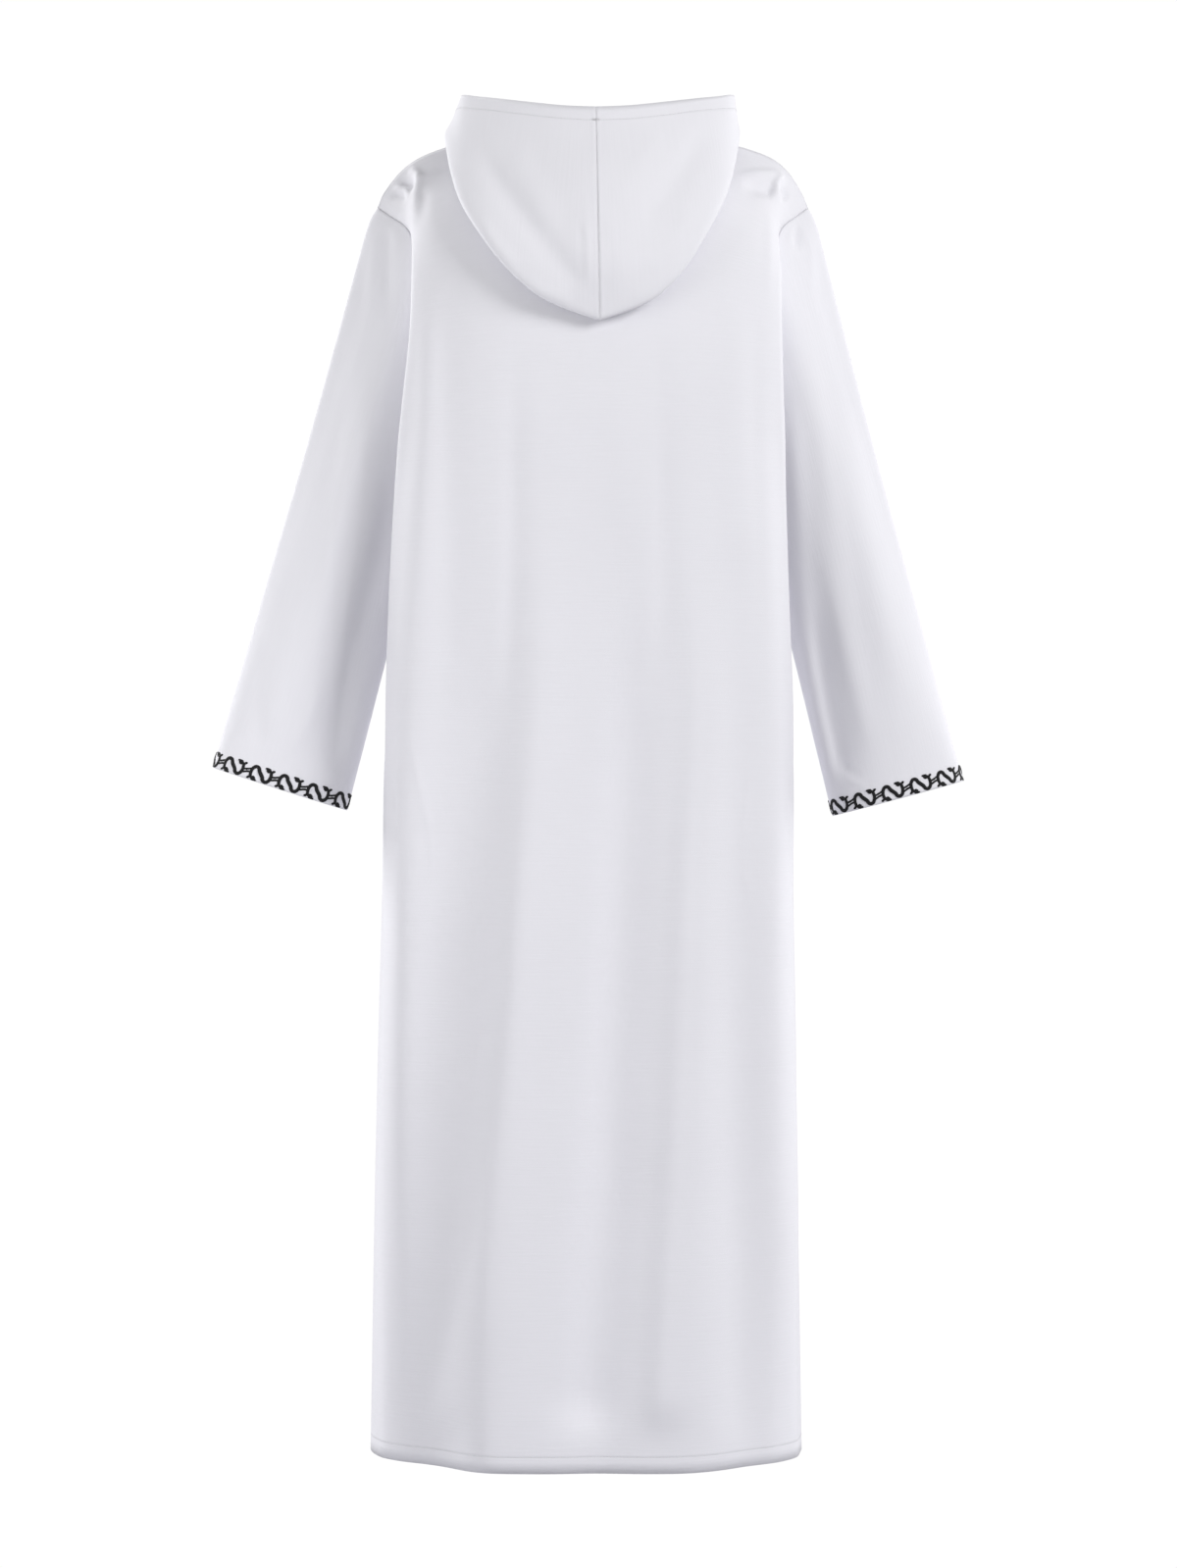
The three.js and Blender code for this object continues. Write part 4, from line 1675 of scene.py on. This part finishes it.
BACK_CREASES = (
    # the long folds of the skirt, sharpened along their own lines
    Crease(((46, -330), (52, -560), (68, -770), (94, -1030), (120, -1190), (156, -1370)),
           4.0, 22, 0.1, fade=(0.3, 0.05)),
    Crease(((86, -400), (102, -700), (124, -960), (156, -1190), (192, -1370)), -1.2, 22, -0.1,
           fade=(0.35, 0.05)),
    Crease(((-34, -340), (-40, -560), (-32, -770), (-20, -1030), (-8, -1190), (6, -1370)),
           -10.5, 30, -0.2, fade=(0.3, 0.05)),
    Crease(((-100, -330), (-116, -560), (-106, -770), (-94, -1030), (-84, -1190), (-74, -1370)),
           8.0, 25, 0.4, fade=(0.3, 0.05)),
    Crease(((-156, -440), (-162, -700), (-156, -1000), (-152, -1370)), -1.5, 20, 0.2,
           fade=(0.35, 0.05)),
    Crease(((172, -220), (182, -420), (192, -700), (200, -1000), (206, -1300)), 8.0, 25,
           fade=(0.25, 0.3)),
    Crease(((-170, -220), (-180, -420), (-190, -700), (-198, -1000), (-204, -1340)), 7.0, 25,
           fade=(0.25, 0.2)),
    # soft folds down from the shoulders
    Crease(((150, -110), (152, -260), (150, -420), (160, -620)), -1.8, 16, 0.2),
    Crease(((176, -120), (172, -300), (174, -520)), 1.6, 12),
    Crease(((78, -170), (82, -300), (84, -440), (92, -640)), -3.0, 13, 0.2, fade=(0.4, 0.4)),
    Crease(((-34, -190), (-36, -300), (-40, -440)), 1.5, 18, fade=(0.5, 0.4)),
    Crease(((-74, -150), (-76, -300), (-76, -470), (-66, -650)), -3.4, 14, 0.2, fade=(0.4, 0.4)),
    Crease(((-150, -110), (-152, -260), (-156, -470)), 1.7, 15),
    Crease(((-178, -120), (-176, -300), (-178, -560)), -1.3, 11),
    # the pulled cloth at the left shoulder
    Crease(((210, -24), (198, -30), (184, -33)), -5.0, 5.5, 0.1, fade=(0.5, 0.15)),
    Crease(((214, -36), (202, -36), (190, -40)), 2.8, 3.8, fade=(0.5, 0.2)),
    Crease(((216, -47), (205, -44), (194, -46)), -2.4, 3.8, fade=(0.5, 0.2)),
    Crease(((196, -15), (186, -20), (178, -29)), 3.6, 5.0, fade=(0.4, 0.2)),
    Crease(((150, -20), (166, -21), (179, -27), (184, -42), (188, -84)), 3.0, 5.0, -0.3,
           fade=(0.4, 0.5)),
    Crease(((176, -36), (178, -54), (181, -84)), -1.4, 7.0, fade=(0.2, 0.7)),
    # the pulled cloth at the right shoulder
    Crease(((-150, -24), (-172, -22), (-195, -22), (-208, -24)), 3.4, 5.0, 0.2,
           fade=(0.5, 0.2)),
    Crease(((-158, -34), (-176, -36), (-196, -40)), -4.6, 6.5, 0.1, fade=(0.5, 0.15)),
    Crease(((-210, -23), (-201, -27), (-196, -34), (-199, -45), (-205, -52)), 4.0, 3.8,
           fade=(0.3, 0.35)),
    Crease(((-204, -34), (-205, -42), (-209, -50)), -3.4, 3.4, fade=(0.3, 0.3)),
    Crease(((-188, -50), (-190, -90), (-188, -170)), 1.6, 6.0, fade=(0.3, 0.6)),
    # the pocket bags, printing through the skirt
    Crease(((190, -606), (180, -665), (168, -726)), 0.9, 3.5, 0.2, fade=(0.5, 0.1)),
    Crease(((165, -728), (172, -745), (190, -734), (215, -715)), 1.1, 3.0, fade=(0.1, 0.4)),
    Crease(((-198, -680), (-206, -700), (-212, -716)), 0.9, 3.0),
    Crease(((-161, -752), (-166, -774), (-170, -790)), 0.9, 3.0),
    Crease(((-170, -640), (-163, -700), (-161, -752)), 0.6, 4.0),
    # small creases near the hem
    Crease(((-116, -1331), (-132, -1333), (-150, -1331)), -0.9, 2.2),
    Crease(((40, -1345), (62, -1341), (86, -1344)), 0.7, 3.0),
)
FRONT_CREASES = (
    Crease(((96, -380), (112, -700), (134, -1040), (158, -1370)), -5.0, 24, 0.2,
           facing=Facing.FRONT, fade=(0.3, 0.05)),
    Crease(((18, -340), (30, -700), (42, -1040), (54, -1370)), 4.6, 26, -0.2,
           facing=Facing.FRONT, fade=(0.3, 0.05)),
    Crease(((-62, -360), (-58, -700), (-54, -1040), (-50, -1370)), -7.0, 28, 0.25,
           facing=Facing.FRONT, fade=(0.3, 0.05)),
    Crease(((-120, -480), (-130, -760), (-140, -1060), (-148, -1370)), 5.0, 24, 0.2,
           facing=Facing.FRONT, fade=(0.3, 0.05)),
    Crease(((150, -120), (154, -290), (150, -470), (158, -640)), -1.8, 15,
           facing=Facing.FRONT),
    Crease(((-148, -120), (-152, -280), (-150, -500)), 1.7, 15, facing=Facing.FRONT),
    Crease(((60, -150), (56, -290), (48, -430)), 1.6, 16, facing=Facing.FRONT, fade=(0.5, 0.4)),
    Crease(((-44, -150), (-38, -300), (-30, -430)), -1.7, 17, facing=Facing.FRONT,
           fade=(0.5, 0.4)),
    Crease(((206, -26), (194, -32), (182, -38)), -2.4, 4.5, facing=Facing.FRONT),
    Crease(((200, -42), (188, -46), (178, -56)), 1.8, 4.5, facing=Facing.FRONT),
    Crease(((-206, -28), (-194, -34), (-184, -42)), -2.4, 4.5, facing=Facing.FRONT),
    Crease(((-200, -44), (-190, -50), (-182, -62)), 1.8, 4.5, facing=Facing.FRONT),
    Crease(((130, -30), (110, -60), (92, -100)), -1.8, 9, facing=Facing.FRONT),
    Crease(((-128, -32), (-110, -62), (-94, -100)), -1.8, 9, facing=Facing.FRONT),
)
LEFT_SLEEVE_CREASES = (
    Crease(((208, -250), (218, -430), (234, -560), (252, -640)), -1.6, 12, -0.3,
           fade=(0.35, 0.3)),
    Crease(((240, -180), (262, -340), (286, -500), (304, -640)), 1.6, 14, fade=(0.3, 0.2)),
    Crease(((252, -230), (282, -400), (318, -560)), -1.5, 14, 0.2),
    Crease(((286, -560), (300, -600), (318, -640)), 1.2, 8),
    Crease(((346, -520), (352, -580), (350, -640)), -1.1, 9),
    Crease(((214, -70), (216, -120), (212, -190)), -1.6, 6, fade=(0.2, 0.6)),
    Crease(((226, -78), (232, -120), (236, -180)), 1.2, 6, fade=(0.2, 0.6)),
    Crease(((220, -260), (240, -420), (262, -600)), -2.6, 14, 0.2, Facing.FRONT),
    Crease(((246, -200), (276, -380), (310, -560)), 1.8, 15, 0.0, Facing.FRONT),
    Crease(((318, -500), (340, -570), (352, -640)), -1.3, 10, 0.0, Facing.FRONT),
)
RIGHT_SLEEVE_CREASES = (
    Crease(((-236, -470), (-246, -560), (-258, -620), (-268, -668)), -3.0, 9, 0.3,
           fade=(0.4, 0.15)),
    Crease(((-214, -230), (-222, -400), (-232, -560)), 1.8, 10, fade=(0.3, 0.3)),
    Crease(((-244, -180), (-268, -350), (-296, -540), (-312, -640)), -1.6, 15, 0.2),
    Crease(((-262, -240), (-298, -430), (-336, -600)), 1.5, 14),
    Crease(((-264, -648), (-276, -656), (-290, -662)), -0.9, 2.6),
    Crease(((-268, -660), (-280, -667), (-294, -671)), 0.8, 2.6),
    Crease(((-218, -72), (-219, -88), (-218, -106)), -3.4, 4, fade=(0.25, 0.4)),
    Crease(((-228, -76), (-234, -110), (-236, -170)), 1.3, 6, fade=(0.2, 0.6)),
    Crease(((-222, -260), (-244, -430), (-268, -610)), -2.6, 13, -0.2, Facing.FRONT),
    Crease(((-248, -200), (-282, -390), (-316, -570)), 1.8, 15, 0.0, Facing.FRONT),
    Crease(((-330, -520), (-346, -590), (-352, -650)), -1.2, 10, 0.0, Facing.FRONT),
)
HOOD_RIDGE = Crease(((-4, 40), (-6, -20), (-9, -90), (-9, -170)), 12.0, 55, fade=(0.35, 0.3),
                    through=True)
LEFT_HOOD_CREASES = (
    HOOD_RIDGE,
    Crease(((127, 30), (104, -20), (72, -66), (38, -108), (4, -148)), -3.6, 13, -0.2,
           fade=(0.3, 0.15)),
    Crease(((84, 14), (60, -40), (30, -86)), 1.8, 15),
    Crease(((6, -60), (3, -84), (2, -112), (0, -146)), 2.0, 4.0, fade=(0.3, 0.3)),
    Crease(((14, -84), (8, -92), (2, -96)), -1.0, 3.0),
    Crease(((13, -112), (7, -118), (0, -124)), -0.9, 3.0),
    Crease(((70, -136), (46, -148), (18, -158)), 1.2, 7),
    Crease(((120, -62), (100, -96), (74, -122)), 1.3, 7),
)
RIGHT_HOOD_CREASES = (
    HOOD_RIDGE,
    Crease(((-130, 38), (-104, -6), (-72, -52), (-40, -92)), -3.2, 14, 0.2, fade=(0.3, 0.3)),
    Crease(((-76, 30), (-52, -14), (-26, -60)), 1.6, 14),
    Crease(((-110, -50), (-86, -96), (-50, -134)), 1.6, 9),
    Crease(((-20, -96), (-18, -124), (-12, -156)), -1.2, 6),
)
PIECES_OF_CLOTH: tuple[Cloth, ...] = (
    Panel("back_panel", BACK_CREASES, (0.66, 1.46), 0.83,
          ("front_panel", "hood_left", "hood_right"), seed=1.0, stitches=HEM),
    Panel("front_panel", FRONT_CREASES, (0.65, 1.40), 0.79, ("back_panel",), seed=4.0,
          stitches=HEM),
    Sleeve("sleeve_left", LEFT_SLEEVE_CREASES, (0.58, 0.66), 0.18, ("back_panel",), seed=8.0),
    Sleeve("sleeve_right", RIGHT_SLEEVE_CREASES, (0.58, 0.66), 0.18, ("back_panel",), seed=12.0),
    HoodHalf("hood_left", LEFT_HOOD_CREASES, (0.30, 0.48), 0.084, ("back_panel",), seed=16.0,
             stitches=RIM),
    HoodHalf("hood_right", RIGHT_HOOD_CREASES, (0.30, 0.48), 0.084, ("back_panel",), seed=20.0,
             stitches=RIM),
)


def dress_pockets(finishes: Finishes) -> None:
    """Gives the pocket bags their own cloth. Their solids are shown as they are.

    Args:
        finishes: The materials.
    """
    for name in ("pocket_bag_left", "pocket_bag_right"):
        bag = bpy.data.objects[name]
        bag.data.materials.clear()
        bag.data.materials.append(finishes.pocketing)
        LOG.info("%s: dressed", name)


def main() -> None:
    """Builds the studio, the cloth, the sewing and the embroidery in order."""
    logging.basicConfig(level=logging.INFO, format="%(name)s: %(message)s")
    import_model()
    Studio().build()
    finishes = Finishes.build()
    for cloth in PIECES_OF_CLOTH:
        cloth.build(finishes)
    dress_pockets(finishes)


if __name__ == "__main__":
    main()
